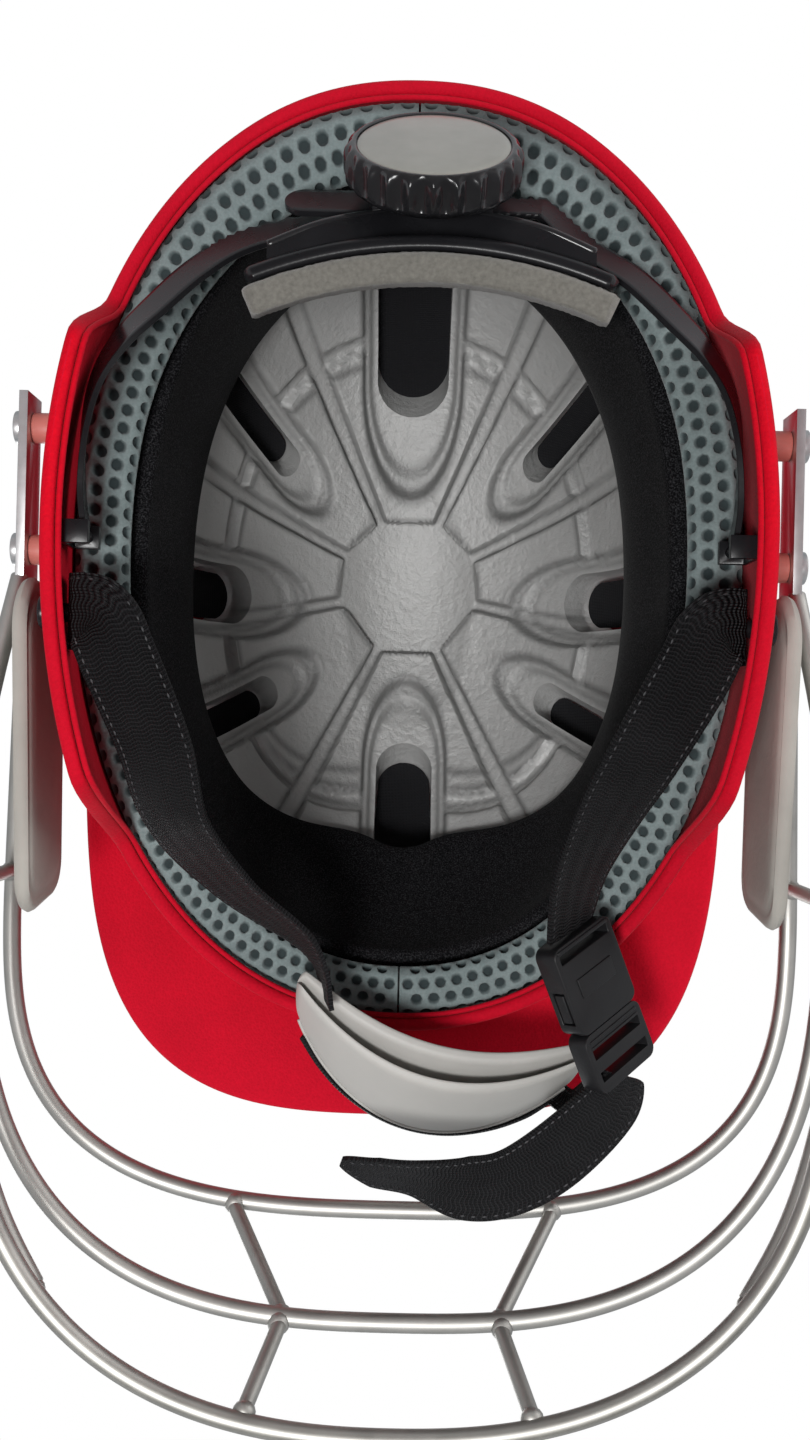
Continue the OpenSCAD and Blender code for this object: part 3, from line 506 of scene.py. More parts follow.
def add_floor():
    corners = [(x * FLOOR_HALF, y * FLOOR_HALF, 0) for x, y in ((-1, -1), (1, -1), (1, 1), (-1, 1))]
    mesh = bpy.data.meshes.new("floor")
    mesh.from_pydata(corners, [], [(0, 1, 2, 3)])
    mesh.materials.append(clear_from_below())
    floor = add_object("floor", mesh)
    floor.visible_shadow = False


def add_panel(name, place, target, size, power):
    data = bpy.data.lights.new(name, "AREA")
    data.shape = "RECTANGLE"
    data.size, data.size_y = size
    data.energy = power
    panel = add_object(name, data)
    panel.location = place
    panel.rotation_euler = (Vector(target) - Vector(place)).to_track_quat("-Z", "Y").to_euler()


def light_world(level):
    world = bpy.data.worlds.new("room")
    bpy.context.scene.world = world
    world.use_nodes = True
    tree = world.node_tree
    tree.nodes.clear()
    output = tree.nodes.new("ShaderNodeOutputWorld")
    room = tree.nodes.new("ShaderNodeBackground")
    white = tree.nodes.new("ShaderNodeBackground")
    mix = tree.nodes.new("ShaderNodeMixShader")
    room.inputs[0].default_value = (0.93, 0.96, 1, 1)
    room.inputs[1].default_value = level
    white.inputs[0].default_value = (1, 1, 1, 1)
    path = tree.nodes.new("ShaderNodeLightPath")
    tree.links.new(path.outputs["Is Camera Ray"], mix.inputs[0])
    tree.links.new(room.outputs[0], mix.inputs[1])
    tree.links.new(white.outputs[0], mix.inputs[2])
    tree.links.new(mix.outputs[0], output.inputs[0])


bpy.context.scene.view_settings.view_transform = "Standard"
add_floor()
light_world(ROOM_LEVEL)
for panel in PANELS:
    add_panel(*panel)
print("floor, world and", len(PANELS), "panels made")

# %% [markdown]
# The shell is close to half an egg: at each height its outline is a rounded oval, and from its widest
# level it closes in to the crown. Working out every surface from this one formula keeps the cover, the
# liner and the pads at their true distances from each other.

# %% The dome's formula
HALF_WIDTH = 100 * MM
HALF_LENGTH = 141 * MM
WAIST = 95 * MM
RISE = 110 * MM
DOME_Y = 43 * MM
CROWN = WAIST + RISE
POWER = 2.2
SHELL_WALL = 4 * MM
LOW_TAPER = 0.07
SIDE_PAD = 28 * MM
NAPE = 39 * MM
BROW = 86 * MM
EAR_FLAP = 8 * MM


def smooth(t):
    c = np.clip(t, 0, 1)
    return c * c * (3 - 2 * c)


def unit_rows(vectors):
    return vectors / np.linalg.norm(vectors, axis=1, keepdims=True)


def level_scale(z, rise):
    above = np.clip(1 - np.clip((z - WAIST) / rise, 0, 1) ** POWER, 0, 1) ** (1 / POWER)
    below = 1 - LOW_TAPER * np.clip((WAIST - z) / WAIST, 0, None) ** 1.2
    return np.where(z >= WAIST, above, below)


def level_halves(z, inset):
    k = level_scale(z, RISE - inset)
    shift = inset * np.minimum(1, k * 2)
    return HALF_WIDTH * k - shift, HALF_LENGTH * k - shift


def dome(a, z, inset):
    a, z, inset = np.broadcast_arrays(*(np.asarray(v, float) for v in (a, z, inset)))
    r = (np.abs(np.cos(a)) ** POWER + np.abs(np.sin(a)) ** POWER) ** (-1 / POWER)
    wide, long = level_halves(z, inset)
    return np.stack([wide * r * np.cos(a), DOME_Y + long * r * np.sin(a), z], axis=-1)


def toward_rear(a):
    return np.degrees(np.arcsin(np.clip(np.sin(a), -1, 1)))


def pad_edge(a):
    s = toward_rear(a)
    rear = SIDE_PAD + (NAPE + 3 * MM - SIDE_PAD) * smooth(s / 60)
    front = SIDE_PAD + (BROW + 2 * MM - SIDE_PAD) * smooth(-s / 80)
    return np.where(s >= 0, rear, front)


def shell_edge(a):
    s = toward_rear(a)
    flap = EAR_FLAP * (1 - smooth((s + 26) / 32))
    away = np.where(s > 0, smooth((s - 23) / 8), smooth((-26 - s) / 10))
    return flap + (pad_edge(a) - 3 * MM - flap) * away


nape_edge = float(shell_edge(math.pi / 2))
print("crown at", round(CROWN * 1000), "mm, nape edge at", round(nape_edge * 1000, 1), "mm")

# %% [markdown]
# Rows of points climb from the lower edge to the crown. Spacing the rows by a sine keeps them even
# over the round crown. The cover is one closed surface: down the outside, round a hem where the knit is
# rolled over the edge, and up the inside.

# %% The red cover over the shell
AROUND = 320
CLIMB = 84
HEM_STEPS = 8
HEM_DROP = 0.8


def all_round(count):
    return np.linspace(-math.pi / 2, 1.5 * math.pi, count, endpoint=False)


def climb(low, high, rows):
    t = np.sin(np.linspace(0, math.pi / 2, rows + 1))[:-1, None]
    return low[None, :] + (high - low[None, :]) * t


def cap_faces(row_start, columns, apex, flip=False):
    ring = [(row_start + j, row_start + (j + 1) % columns, apex) for j in range(columns)]
    return [(b, a, c) for a, b, c in ring] if flip else ring


def bowl_mesh(rings, high_out, high_in):
    columns = len(rings[0])
    points = np.concatenate(rings + [[[0, DOME_Y, high_out]], [[0, DOME_Y, high_in]]])
    faces = grid_faces(len(rings), columns)
    faces += cap_faces(0, columns, len(points) - 2, flip=True)
    faces += cap_faces((len(rings) - 1) * columns, columns, len(points) - 1)
    return points, faces


def make_shell_cover():
    a = all_round(AROUND)
    low, high_in = shell_edge(a) + 1.6 * MM, CROWN - SHELL_WALL
    outer = dome(a[None, :], climb(low, CROWN, CLIMB), 0.0)
    inner = dome(a[None, :], climb(low, high_in, CLIMB), SHELL_WALL)
    middle = (outer[0] + inner[0]) / 2
    reach = (outer[0] - inner[0]) / 2
    hem = []
    for i in range(1, HEM_STEPS):
        turn = math.pi * i / HEM_STEPS
        ring = middle + reach * math.cos(turn)
        ring[:, 2] -= np.linalg.norm(reach, axis=1) * math.sin(turn) * HEM_DROP
        hem.append(ring)
    points, faces = bowl_mesh(list(outer[::-1]) + hem + list(inner), CROWN, high_in)
    return make_piece("shell_cover", points, faces, KNIT, "helmet", replaces=["shell"])


shell_cover = make_shell_cover()
print("shell cover has", len(shell_cover.data.vertices), "points")

# %% [markdown]
# Eight slots go through the helmet. Each one is a fan of directions from a point at the dome's middle:
# an azimuth, a lowest and a highest angle above the level, and a share of the full half width. The same
# numbers cut the shell and the liner, shape the collar round each slot, and place the black net in it.

# %% The vents as fans of directions
HEART = np.array([0, DOME_Y, WAIST])
VENT_HALF_WIDTH = 13 * MM
SHELL_VENT_SHARE = 0.55
CUTTER_NEAR, CUTTER_FAR, CUTTER_CORNERS = 0.045, 0.19, 28
VENTS = [
    (90, 8, 37, 1.0), (270, 14, 49, 0.8), (0, 10, 37, 0.8), (180, 10, 37, 0.8),
    (48, 12, 41, 0.42), (132, 12, 41, 0.42), (-34, 14, 43, 0.46), (214, 14, 43, 0.46),
]


def vent_frame(azimuth):
    out = np.array([math.cos(azimuth), math.sin(azimuth), 0.0])
    side = np.array([-out[1], out[0], 0.0])
    return out, side


def vent_distance(points, end_scale):
    nearest = np.full(points.shape[:-1], 1.0)
    arm = points - HEART
    for degrees, low, high, share in VENTS:
        out, side = vent_frame(math.radians(degrees))
        along, lateral = arm @ out, np.abs(arm @ side)
        rise = np.arctan2(arm[..., 2], along)
        span = np.hypot(along, arm[..., 2])
        beyond = np.maximum(rise - math.radians(high), math.radians(low) - rise)
        past_end = np.clip(np.sin(np.clip(beyond, 0, 1.5)), 0, None) * span * end_scale
        distance = np.hypot(lateral, past_end) - VENT_HALF_WIDTH * share
        nearest = np.where(along > 0, np.minimum(nearest, distance), nearest)
    return nearest


def vent_cutter(share):
    work = bmesh.new()
    for degrees, low, high, wide in VENTS:
        radius = VENT_HALF_WIDTH * wide * share
        out, side = vent_frame(math.radians(degrees))
        trim = (1 - share) * 8
        rings = []
        for reach in (CUTTER_NEAR, CUTTER_FAR):
            ring = []
            for j in range(CUTTER_CORNERS):
                turn = math.tau * (j + 0.5) / CUTTER_CORNERS
                lift = math.radians(high - trim if math.sin(turn) > 0 else low + trim)
                ray = out * math.cos(lift) + np.array([0, 0, math.sin(lift)])
                upright = np.array([0, 0, math.cos(lift)]) - out * math.sin(lift)
                spoke = math.cos(turn) * side + math.sin(turn) * upright
                ring.append(work.verts.new(HEART + ray * reach + radius * spoke))
            rings.append(ring)
        for j in range(CUTTER_CORNERS):
            k = (j + 1) % CUTTER_CORNERS
            work.faces.new((rings[0][j], rings[0][k], rings[1][k], rings[1][j]))
        work.faces.new(rings[0][::-1])
        work.faces.new(rings[1])
    bmesh.ops.recalc_face_normals(work, faces=work.faces)
    mesh = bpy.data.meshes.new("vent_cutter")
    work.to_mesh(mesh)
    work.free()
    return add_object("vent_cutter", mesh)


def cut_away(piece, cutter, smooth_angle):
    cut = piece.modifiers.new("cut", "BOOLEAN")
    cut.operation = "DIFFERENCE"
    cut.solver = "MANIFOLD"
    cut.object = cutter
    apply_modifiers(piece)
    mesh = cutter.data
    bpy.data.objects.remove(cutter)
    bpy.data.meshes.remove(mesh)
    soften(piece.data, smooth_angle)


cut_away(shell_cover, vent_cutter(SHELL_VENT_SHARE), SHADE_ANGLE)
print("vents cut in the shell cover, which now has", len(shell_cover.data.polygons), "faces")

# %% [markdown]
# The liner's inside is the heart of the picture. Eight grooves run out from a flat disc at the crown
# and part it into wedges. Each wedge has a raised inner panel and a lower outer one, with a groove
# between, and a sloping collar runs round every slot. All of that is one height worked out per point.
# A second number per point marks the edges of the panels and collars, where shade is painted into the
# colour.

# %% Height of the liner's relief
GROOVE_DEGREES = np.array([25, 65, 115, 155, 194, 244, 296, 346])
DISC_CENTRE = np.array([0, 50 * MM])
DISC_RADIUS = 27 * MM
LINER_FOOT = 10 * MM
GROOVE_HALF = 2.0 * MM
GROOVE_SPREAD = 0.024
COLLAR_WIDTH = 5.2 * MM
COLLAR_HIGH, COLLAR_LOW, COLLAR_LIMIT = 1.9 * MM, 1.4 * MM, 0.3 * MM
SLOT_END_SCALE = 0.5
STEP_LEVEL = 137 * MM
STEP_RISE_REAR, STEP_RISE_FRONT = 10.5 * MM, 25 * MM
STEP_GAP = 4.2 * MM
INNER_RISE, OUTER_RISE = 3.3, 2.4
BAND_TALL, BAND_SHORTER = 54 * MM, 10 * MM


def ramp_up(distance, width):
    return smooth(distance / width + 0.5)


def band_top(a):
    s = toward_rear(a)
    tall = BAND_TALL - BAND_SHORTER * smooth((-s - 40) / 50)
    return pad_edge(a) + LINER_FOOT + tall


def liner_fields(points, a):
    flat = points[..., :2] - DISC_CENTRE
    rho = np.hypot(flat[..., 0], flat[..., 1])
    turn = np.degrees(np.arctan2(flat[..., 1], flat[..., 0])) % 360
    edges = np.append(GROOVE_DEGREES, GROOVE_DEGREES[0] + 360)
    turn = np.where(turn < edges[0], turn + 360, turn)
    index = np.clip(np.searchsorted(edges, turn, side="right") - 1, 0, len(GROOVE_DEGREES) - 1)
    low, high = edges[index], edges[index + 1]
    groove = np.minimum(turn - low, high - turn)
    to_groove = rho * np.sin(np.radians(np.minimum(groove, 60)))
    half_groove = GROOVE_HALF + GROOVE_SPREAD * np.clip(rho - DISC_RADIUS, 0, None)
    middle, half = np.radians((low + high) / 2), np.radians((high - low) / 2)
    to_disc = rho * np.cos(np.radians(turn) - middle) - DISC_RADIUS * np.cos(half)
    s = np.sin(a)
    step = STEP_LEVEL + np.where(s > 0, STEP_RISE_REAR, STEP_RISE_FRONT) * s * s
    above = points[..., 2] - step
    to_slot = vent_distance(points, SLOT_END_SCALE)
    return to_groove - half_groove, to_slot - COLLAR_WIDTH, to_disc - 0.4 * MM, above


def liner_height(points, a):
    groove, slot, disc, above = liner_fields(points, a)
    panel = ramp_up(groove, 1.3 * MM) * ramp_up(slot, 1.8 * MM)
    inner = ramp_up(disc, 1.1 * MM) * ramp_up(above, 1.3 * MM)
    outer = ramp_up(-above - STEP_GAP, 1.5 * MM)
    collar = COLLAR_HIGH * ramp_up(slot + 2.8 * MM, 2.2 * MM) - COLLAR_LOW
    base = np.minimum(collar, COLLAR_LIMIT)
    height = base + panel * (inner * INNER_RISE + outer * OUTER_RISE) * MM
    return height * ramp_up(points[..., 2] - band_top(a) - 4 * MM, 6 * MM)


def near_zero(distance, width):
    return np.clip(1 - np.abs(distance) / width, 0, 1)


# Painted shade: near 1 on the slopes beside grooves, slots, the disc and the steps, and at each collar's
# foot; the finish darkens the colour there.
def liner_slope_shade(points, a):
    groove, slot, disc, above = liner_fields(points, a)
    beyond_disc = ramp_up(disc + 0.5 * MM, 1.5 * MM)
    rim = near_zero(groove + 0.4 * MM, 1.6 * MM) * beyond_disc
    rim = np.maximum(rim, near_zero(slot + 0.4 * MM, 1.8 * MM))
    steps = np.maximum(near_zero(disc, 1.5 * MM), near_zero(above + 0.3 * MM, 1.6 * MM))
    steps = np.maximum(steps, near_zero(above + 3.9 * MM, 1.6 * MM))
    panel = (groove > -0.5 * MM) & (slot > -0.5 * MM)
    return np.maximum(np.maximum(rim, steps * panel), 0.7 * near_zero(slot + 3.2 * MM, 1.7 * MM))


print("relief ready, the grooves are at", [int(g) for g in GROOVE_DEGREES], "degrees")

# %% [markdown]
# The liner's outer skin is plain and coarse, because nobody sees it. Its inner skin is fine enough for
# the relief: a little over 1 mm between points. Each point is raised square to the smooth surface.

# %% The silver liner
LINER_OUTSIDE = 6.2 * MM
LINER_LOW, LINER_THICK = 10 * MM, 19 * MM
LINER_AROUND = 560
LINER_ROWS, LINER_OUTER_ROWS = 165, 22
LINER_SWELL = 60 * MM


def liner_depth(a, z):
    return LINER_OUTSIDE + LINER_LOW + (LINER_THICK - LINER_LOW) * smooth((z - pad_edge(a)) / LINER_SWELL)


def inward_normals(grid):
    around = np.roll(grid, -1, axis=1) - np.roll(grid, 1, axis=1)
    up = np.gradient(grid, axis=0)
    normal = np.cross(up, around)
    return normal / np.maximum(np.linalg.norm(normal, axis=2, keepdims=True), 1e-12)


def make_liner():
    a = all_round(LINER_AROUND)
    low = pad_edge(a) + LINER_FOOT
    high_out, high_in = CROWN - LINER_OUTSIDE, CROWN - LINER_OUTSIDE - LINER_THICK
    z_out, z_in = climb(low, high_out, LINER_OUTER_ROWS), climb(low, high_in, LINER_ROWS)
    outer = dome(a[None, :], z_out, LINER_OUTSIDE)
    inner = dome(a[None, :], z_in, liner_depth(a[None, :], z_in))
    inner += inward_normals(inner) * liner_height(inner, a[None, :])[..., None]
    points, faces = bowl_mesh(list(outer[::-1]) + list(inner), high_out, high_in)
    return make_piece("liner_skin", points, faces, LINER_SKIN, "helmet", replaces=["liner"])


def dome_turn(points):
    across, along = points[:, 0] / HALF_WIDTH, (points[:, 1] - DOME_Y) / HALF_LENGTH
    across, along = [np.sign(v) * np.abs(v) ** (POWER / 2) for v in (across, along)]
    return np.arctan2(along, across)


def store_slope_shade(piece):
    flat = np.zeros(len(piece.data.vertices) * 3)
    piece.data.vertices.foreach_get("co", flat)
    points = flat.reshape(-1, 3)
    # The stored number is painted shade for the panel slopes.
    store_number(piece, "panel_slope_shade", liner_slope_shade(points, dome_turn(points)).astype(float))


liner_piece = make_liner()
cut_away(liner_piece, vent_cutter(1.0), smooth_angle=50)
store_slope_shade(liner_piece)
print("liner has", len(liner_piece.data.polygons), "faces")

# %% [markdown]
# Black net is stretched across each slot, a little outside the liner's inner face. Every patch is a
# thin closed sheet on the dome. A point on it is found by halving the way out from the middle, again
# and again, until the dome is met.

# %% Net in the vents
NET_FRONT, NET_BACK = 15.3 * MM, 14.85 * MM
NET_COLUMNS = 40
NET_RINGS = (0.12, 0.45, 0.75, 1.0)
NET_REACH = 0.115
FAR_OUTSIDE = 0.3
HALVINGS = 30


def reach_dome(directions, inset):
    near, far = np.zeros(directions.shape[:-1]), np.full(directions.shape[:-1], FAR_OUTSIDE)
    for _ in range(HALVINGS):
        middle = (near + far) / 2
        points = HEART + directions * middle[..., None]
        wide, long = (np.maximum(v, 1e-6) for v in level_halves(points[..., 2], inset))
        across, along = np.abs(points[..., 0]) / wide, np.abs(points[..., 1] - DOME_Y) / long
        inside = across ** POWER + along ** POWER < 1
        near, far = np.where(inside, middle, near), np.where(inside, far, middle)
    return HEART + directions * near[..., None]


def net_patch(vent):
    degrees, low, high, share = vent
    out, side = vent_frame(math.radians(degrees))
    turns = np.linspace(0, math.tau, NET_COLUMNS, endpoint=False)
    rings = []
    for scale in NET_RINGS:
        radius = VENT_HALF_WIDTH * share * 1.06 * scale
        lift = math.radians((low + high) / 2)
        half = math.radians((high - low) / 2) * scale
        lift = lift + np.sign(np.sin(turns)) * half * np.minimum(1, np.abs(np.sin(turns)) * 4)
        lift = lift + np.sin(turns) * radius / NET_REACH
        ray = out[None, :] * np.cos(lift)[:, None] + np.array([0, 0, 1]) * np.sin(lift)[:, None]
        ring = ray * NET_REACH + side[None, :] * (np.cos(turns) * radius)[:, None]
        rings.append(unit_rows(ring))
    return np.array(rings)


def make_nets():
    points, faces = [], []
    for vent in VENTS:
        rays = net_patch(vent)
        layers = list(reach_dome(rays, NET_FRONT)) + list(reach_dome(rays, NET_BACK)[::-1])
        faces.extend(closed_faces(len(layers), NET_COLUMNS, start=len(points)))
        points.extend(p for ring in layers for p in ring)
    return make_piece("vent_net", points, faces, VENT_NET, "helmet", replaces=["vent_mesh"])


nets = make_nets()
print("net patches made over", len(VENTS), "vents")

# %% [markdown]
# The two pads have about 1,000 holes, each a real pit. A pad is cut into bricks in a running bond,
# twelve points to a brick, so that every point on a brick's edge is shared with its neighbours. Inside
# each brick three smaller loops step down into the hole.

# %% The mesh pad round the opening
PAD_WIDE, PAD_NAPE_WIDE, PAD_TALL = 15 * MM, 20.5 * MM, 9 * MM
BRICKS_ALONG, BRICKS_ROUND = 66, 8
BRICK_EDGE = [
    (0, 0), (0.25, 0), (0.5, 0), (0.75, 0), (1, 0), (1, 0.5),
    (1, 1), (0.75, 1), (0.5, 1), (0.25, 1), (0, 1), (0, 0.5),
]
BRICK_POINTS = len(BRICK_EDGE)
HOLE_LOOPS = [(0.40, 0.0, 0.0), (0.345, 0.35, 0.4), (0.29, 1.3, 1.0)]
PAD_END = 89.8
PAD_POWER = 0.7
SHARE_STEPS = 400


def signed_power(v, e):
    return np.sign(v) * np.abs(v) ** e


def run_lengths(path):
    return np.concatenate([[0], np.cumsum(np.linalg.norm(np.diff(path, axis=0), axis=1))])


def points_at(path, marks):
    places = run_lengths(path)
    return np.stack([np.interp(marks, places, path[:, k]) for k in range(path.shape[1])], axis=1)


def pad_wide(a):
    return PAD_WIDE + (PAD_NAPE_WIDE - PAD_WIDE) * smooth((toward_rear(a) - 15) / 50)


def pad_inset(a):
    return SHELL_WALL + 0.5 * MM + pad_wide(a) / 2


def even_steps(curve):
    places = run_lengths(curve)
    marks = np.linspace(0, places[-1], SHARE_STEPS + 1)
    return np.interp(marks, places, np.linspace(0, 1, len(curve)))


sweep = np.radians(np.linspace(-PAD_END, PAD_END, 600))
RING_SHARE = even_steps(dome(sweep, pad_edge(sweep) + PAD_TALL / 2, pad_inset(sweep)))
turns = np.linspace(0, math.tau, 800)
section = [
    signed_power(np.cos(turns), PAD_POWER) * PAD_WIDE / 2,
    signed_power(np.sin(turns), PAD_POWER) * PAD_TALL / 2,
]
TURN_SHARE = even_steps(np.stack(section, axis=1))


def share_at(table, share):
    return float(np.interp(share * SHARE_STEPS, np.arange(SHARE_STEPS + 1), table))


def pad_point(along, around, depth, side):
    a = math.radians(PAD_END) * (2 * share_at(RING_SHARE, along / BRICKS_ALONG) - 1)
    q = -math.tau * share_at(TURN_SHARE, (around / BRICKS_ROUND) % 1.0)
    across = signed_power(math.cos(q), PAD_POWER) * (float(pad_wide(a)) / 2 - depth)
    up = signed_power(math.sin(q), PAD_POWER) * (PAD_TALL / 2 - depth)
    centre = float(pad_edge(np.array(a))) + PAD_TALL / 2
    point = dome(a, centre + up, float(pad_inset(a)) - across)
    return (side * point[0], point[1], point[2])


def mesh_pad(side, node):
    points, depths, faces, shared = [], [], [], {}

    def add(along, around, drop, depth):
        points.append(pad_point(along, around, drop * MM, side))
        depths.append(depth)
        return len(points) - 1

    def edge_point(along, around):
        key = (round(along * 4), round(around * 2) % (BRICKS_ROUND * 2))
        if key not in shared:
            shared[key] = add(along, around, 0.0, 0.0)
        return shared[key]

    for row in range(BRICKS_ROUND):
        shift = 0.5 * (row % 2)
        for step in range(BRICKS_ALONG + (row % 2)):
            start = step - shift
            whole = 0 <= start and start + 1 <= BRICKS_ALONG
            outline = []
            for u, v in BRICK_EDGE:
                index = edge_point(min(max(start + u, 0), BRICKS_ALONG), row + v)
                if index not in outline:
                    outline.append(index)
            if not whole:
                faces.append(tuple(outline))
                continue
            previous = outline
            for size, drop, depth in HOLE_LOOPS:
                loop = []
                for u, v in BRICK_EDGE:
                    turn = math.atan2(v - 0.5, u - 0.5)
                    x, y = start + 0.5 + size * math.cos(turn), row + 0.5 + size * 1.02 * math.sin(turn)
                    loop.append(add(x, y, drop, depth))
                for k in range(BRICK_POINTS):
                    after = (k + 1) % BRICK_POINTS
                    faces.append((previous[k], previous[after], loop[after], loop[k]))
                previous = loop
            faces.append(tuple(previous))
    for end in (0, BRICKS_ALONG):
        faces.append(tuple(shared[(end * 4, j)] for j in range(BRICKS_ROUND * 2)))
    name = node + "_net"
    pad = make_piece(name, points, faces, SPACER, "helmet", replaces=[node], smooth_angle=75)
    # These depths darken the colour in the pits: partly the darker core, partly painted shade.
    store_number(pad, "hole_core_and_shade", depths)
    return pad


for side, node in ((LEFT, "mesh_pad_left"), (RIGHT, "mesh_pad_right")):
    pad = mesh_pad(side, node)
    print(pad.name, "has", len(pad.data.polygons), "faces")

# %% [markdown]
# The sweat band is a soft strip sewn inside the liner. Its section is a thin loop with round lips, and
# it bulges a little between its edges. Slow waves along it keep it from looking machined.

# %% The black sweat band
BAND_AROUND = 300
LIP_TURNS = [math.radians(turn) for turn in (30, 60, 90, 120, 150)]


def make_sweat_band():
    a = all_round(BAND_AROUND)
    low, high = pad_edge(a) + 9.5 * MM, band_top(a)
    near, thick, lip = 1.0 * MM, 5.5 * MM, 2.6 * MM
    sway = (np.sin(a * 9) * 0.25 + np.sin(a * 23 + 1.0) * 0.18) * MM
    rings = []

    def ring_at(share, depth, lift=0.0):
        z = low + (high - low) * share + lift
        rings.append(dome(a, z, liner_depth(a, z) + near + depth))

    for share in np.linspace(0.03, 0.97, 9):
        ring_at(share, 0.0)
    for t in LIP_TURNS:
        ring_at(1.0, thick / 2 * (1 - math.cos(t)), lip * math.sin(t) * 0.5 - lip * 0.5)
    for share in np.linspace(0.97, 0.03, 18):
        bulge = math.sin(math.pi * share)
        ring_at(share, thick + 0.7 * MM * bulge + sway * bulge)
    for t in LIP_TURNS:
        ring_at(0.0, thick / 2 * (1 + math.cos(t)), lip * 0.5 - lip * math.sin(t) * 0.5)
    points = np.concatenate(rings)
    faces = grid_faces(len(rings), BAND_AROUND, close_rows=True)
    band = make_piece(
        "sweat_band_cloth", points, faces, JERSEY, "helmet", replaces=["sweat_band"]
    )
    return band


band = make_sweat_band()
print("sweat band has", len(band.data.vertices), "points")

# %% [markdown]
# A wire is a tube swept along a path. Its rings keep a level direction, so they never twist. The ends
# close in two steps to look cut and dressed, and small flattened balls stand for the welds.

# %% Helpers for wires and welds
PATH_STEP = 2.0 * MM
BALL_ROWS, BALL_COLUMNS = 7, 14
WELD_SIZE = (3.1 * MM, 3.1 * MM, 2.5 * MM)
WIRE_END = [(0.55, 0.34), (0.9, 0.16)]


def rounded_path(corners, passes):
    corners = np.array(corners, float)
    whole = run_lengths(corners)[-1]
    path = points_at(corners, np.linspace(0, whole, max(int(whole / PATH_STEP), 4)))
    for _ in range(passes):
        path[1:-1] += 0.5 * ((path[:-2] + path[2:]) / 2 - path[1:-1])
    return path


def tube_rings(path, radius, sides):
    tangents = unit_rows(np.gradient(path, axis=0))
    first = unit_rows(np.cross(tangents, [0, 0, 1.0]))
    second = np.cross(tangents, first)
    turns = np.linspace(0, math.tau, sides, endpoint=False)
    return path[:, None, :] + spokes_of(turns, first, second) * radius, tangents


def spokes_of(turns, first, second):
    c, s = np.cos(turns)[None, :, None], np.sin(turns)[None, :, None]
    return c * first[:, None, :] + s * second[:, None, :]


def add_tube(points, faces, path, radius, sides=20):
    rings, tangents = tube_rings(path, radius, sides)
    ends = []
    for end, way in ((0, -1), (-1, 1)):
        spokes, ahead = rings[end] - path[end], way * tangents[end] * radius
        ends.append([path[end] + spokes * s + ahead * d for s, d in WIRE_END])
    layers = ends[0] + list(rings) + ends[1][::-1]
    faces.extend(closed_faces(len(layers), sides, start=len(points)))
    points.extend(p for ring in layers for p in ring)


def add_ball(points, faces, centre, size):
    start = len(points)
    for i in range(1, BALL_ROWS):
        polar = math.pi * i / BALL_ROWS
        for j in range(BALL_COLUMNS):
            turn = math.tau * j / BALL_COLUMNS
            way = (math.sin(polar) * math.cos(turn), math.sin(polar) * math.sin(turn), math.cos(polar))
            points.append([centre[k] + size[k] * way[k] for k in range(3)])
    faces.extend(grid_faces(BALL_ROWS - 1, BALL_COLUMNS, start=start))
    points.append([centre[0], centre[1], centre[2] + size[2]])
    points.append([centre[0], centre[1], centre[2] - size[2]])
    faces.extend(cap_faces(start, BALL_COLUMNS, len(points) - 2, flip=True))
    faces.extend(cap_faces(start + (BALL_ROWS - 2) * BALL_COLUMNS, BALL_COLUMNS, len(points) - 1))


def mirror_x(path):
    return [(-p[0], p[1], p[2]) for p in path]


def even_path(path, spacing):
    whole = run_lengths(path)[-1]
    return points_at(np.array(path, float), np.linspace(0, whole, int(whole / spacing) + 1))


print("wire helpers ready")

# %% [markdown]
# Three hoops cross in front of the face. The top one runs on along the cheek as a rail to the plate at
# the ear. A cheek wire slopes from the plate to the lowest hoop, and short uprights tie the hoops.

# %% Wires of the face guard
WIRE = 2.6 * MM
GUARD_HALF = 116 * MM
HOOP_STEPS = 150


def hoop(half, back, reach, power, z):
    path = []
    for i in range(HOOP_STEPS + 1):
        q = math.pi * i / HOOP_STEPS
        x = half * float(signed_power(math.cos(q), 2 / power))
        path.append((x, back - (reach + back) * max(0.0, math.sin(q)) ** (2 / power), z))
    return path


def millimetres(path):
    return [tuple(v * MM for v in p) for p in path]


top_hoop = hoop(GUARD_HALF - 0.5 * MM, -56 * MM, 146 * MM, 3, 65 * MM)
middle_hoop = hoop(GUARD_HALF, -48 * MM, 165 * MM, 2.75, 32 * MM)
low_hoop = hoop(110 * MM, -76 * MM, 181.4 * MM, 2.4, 2.65 * MM)
rail = millimetres([(107.2, 37, 43)])
low_tip = millimetres([(115.5, -48, 11), (114, -55, 7.5), (111.5, -66, 4.2)])
cheek_wire = millimetres([
    (107.2, 36.9, 35.5), (110.4, 12, 27), (114, -18, 19.5), (116.1, -50, 14.5),
    (114, -80, 11.8), (108.5, -108, 10.2), (101, -130, 8.2), (91, -146, 6.8),
])
side_upright = millimetres([(116, -47, 16.4), (115, -47, 62.5)])
uprights = [
    millimetres([(47, -145, 63), (30, -164, 34)]),
    millimetres([(30, -164.8, 30), (37, -177, 5)]),
]
WELDS = [
    (47, -144.6, 63.6), (30, -164, 33), (30.4, -165, 30.2), (36.6, -176.6, 5), (91, -147, 6),
    (116, -47.5, 30), (115.2, -47.5, 62), (115.9, -47.5, 15.5),
]


def wire_piece(name, paths, nodes, welds=(), radius=WIRE):
    points, faces = [], []
    for path in paths:
        add_tube(points, faces, np.array(path, float), radius)
    for place in welds:
        for side in (LEFT, RIGHT):
            centre = (side * place[0] * MM, place[1] * MM, place[2] * MM)
            add_ball(points, faces, centre, WELD_SIZE)
    piece = make_piece(name, points, faces, STEEL, "helmet", replaces=nodes, smooth_angle=60)
    print(name, "has", len(piece.data.vertices), "points")
    return piece


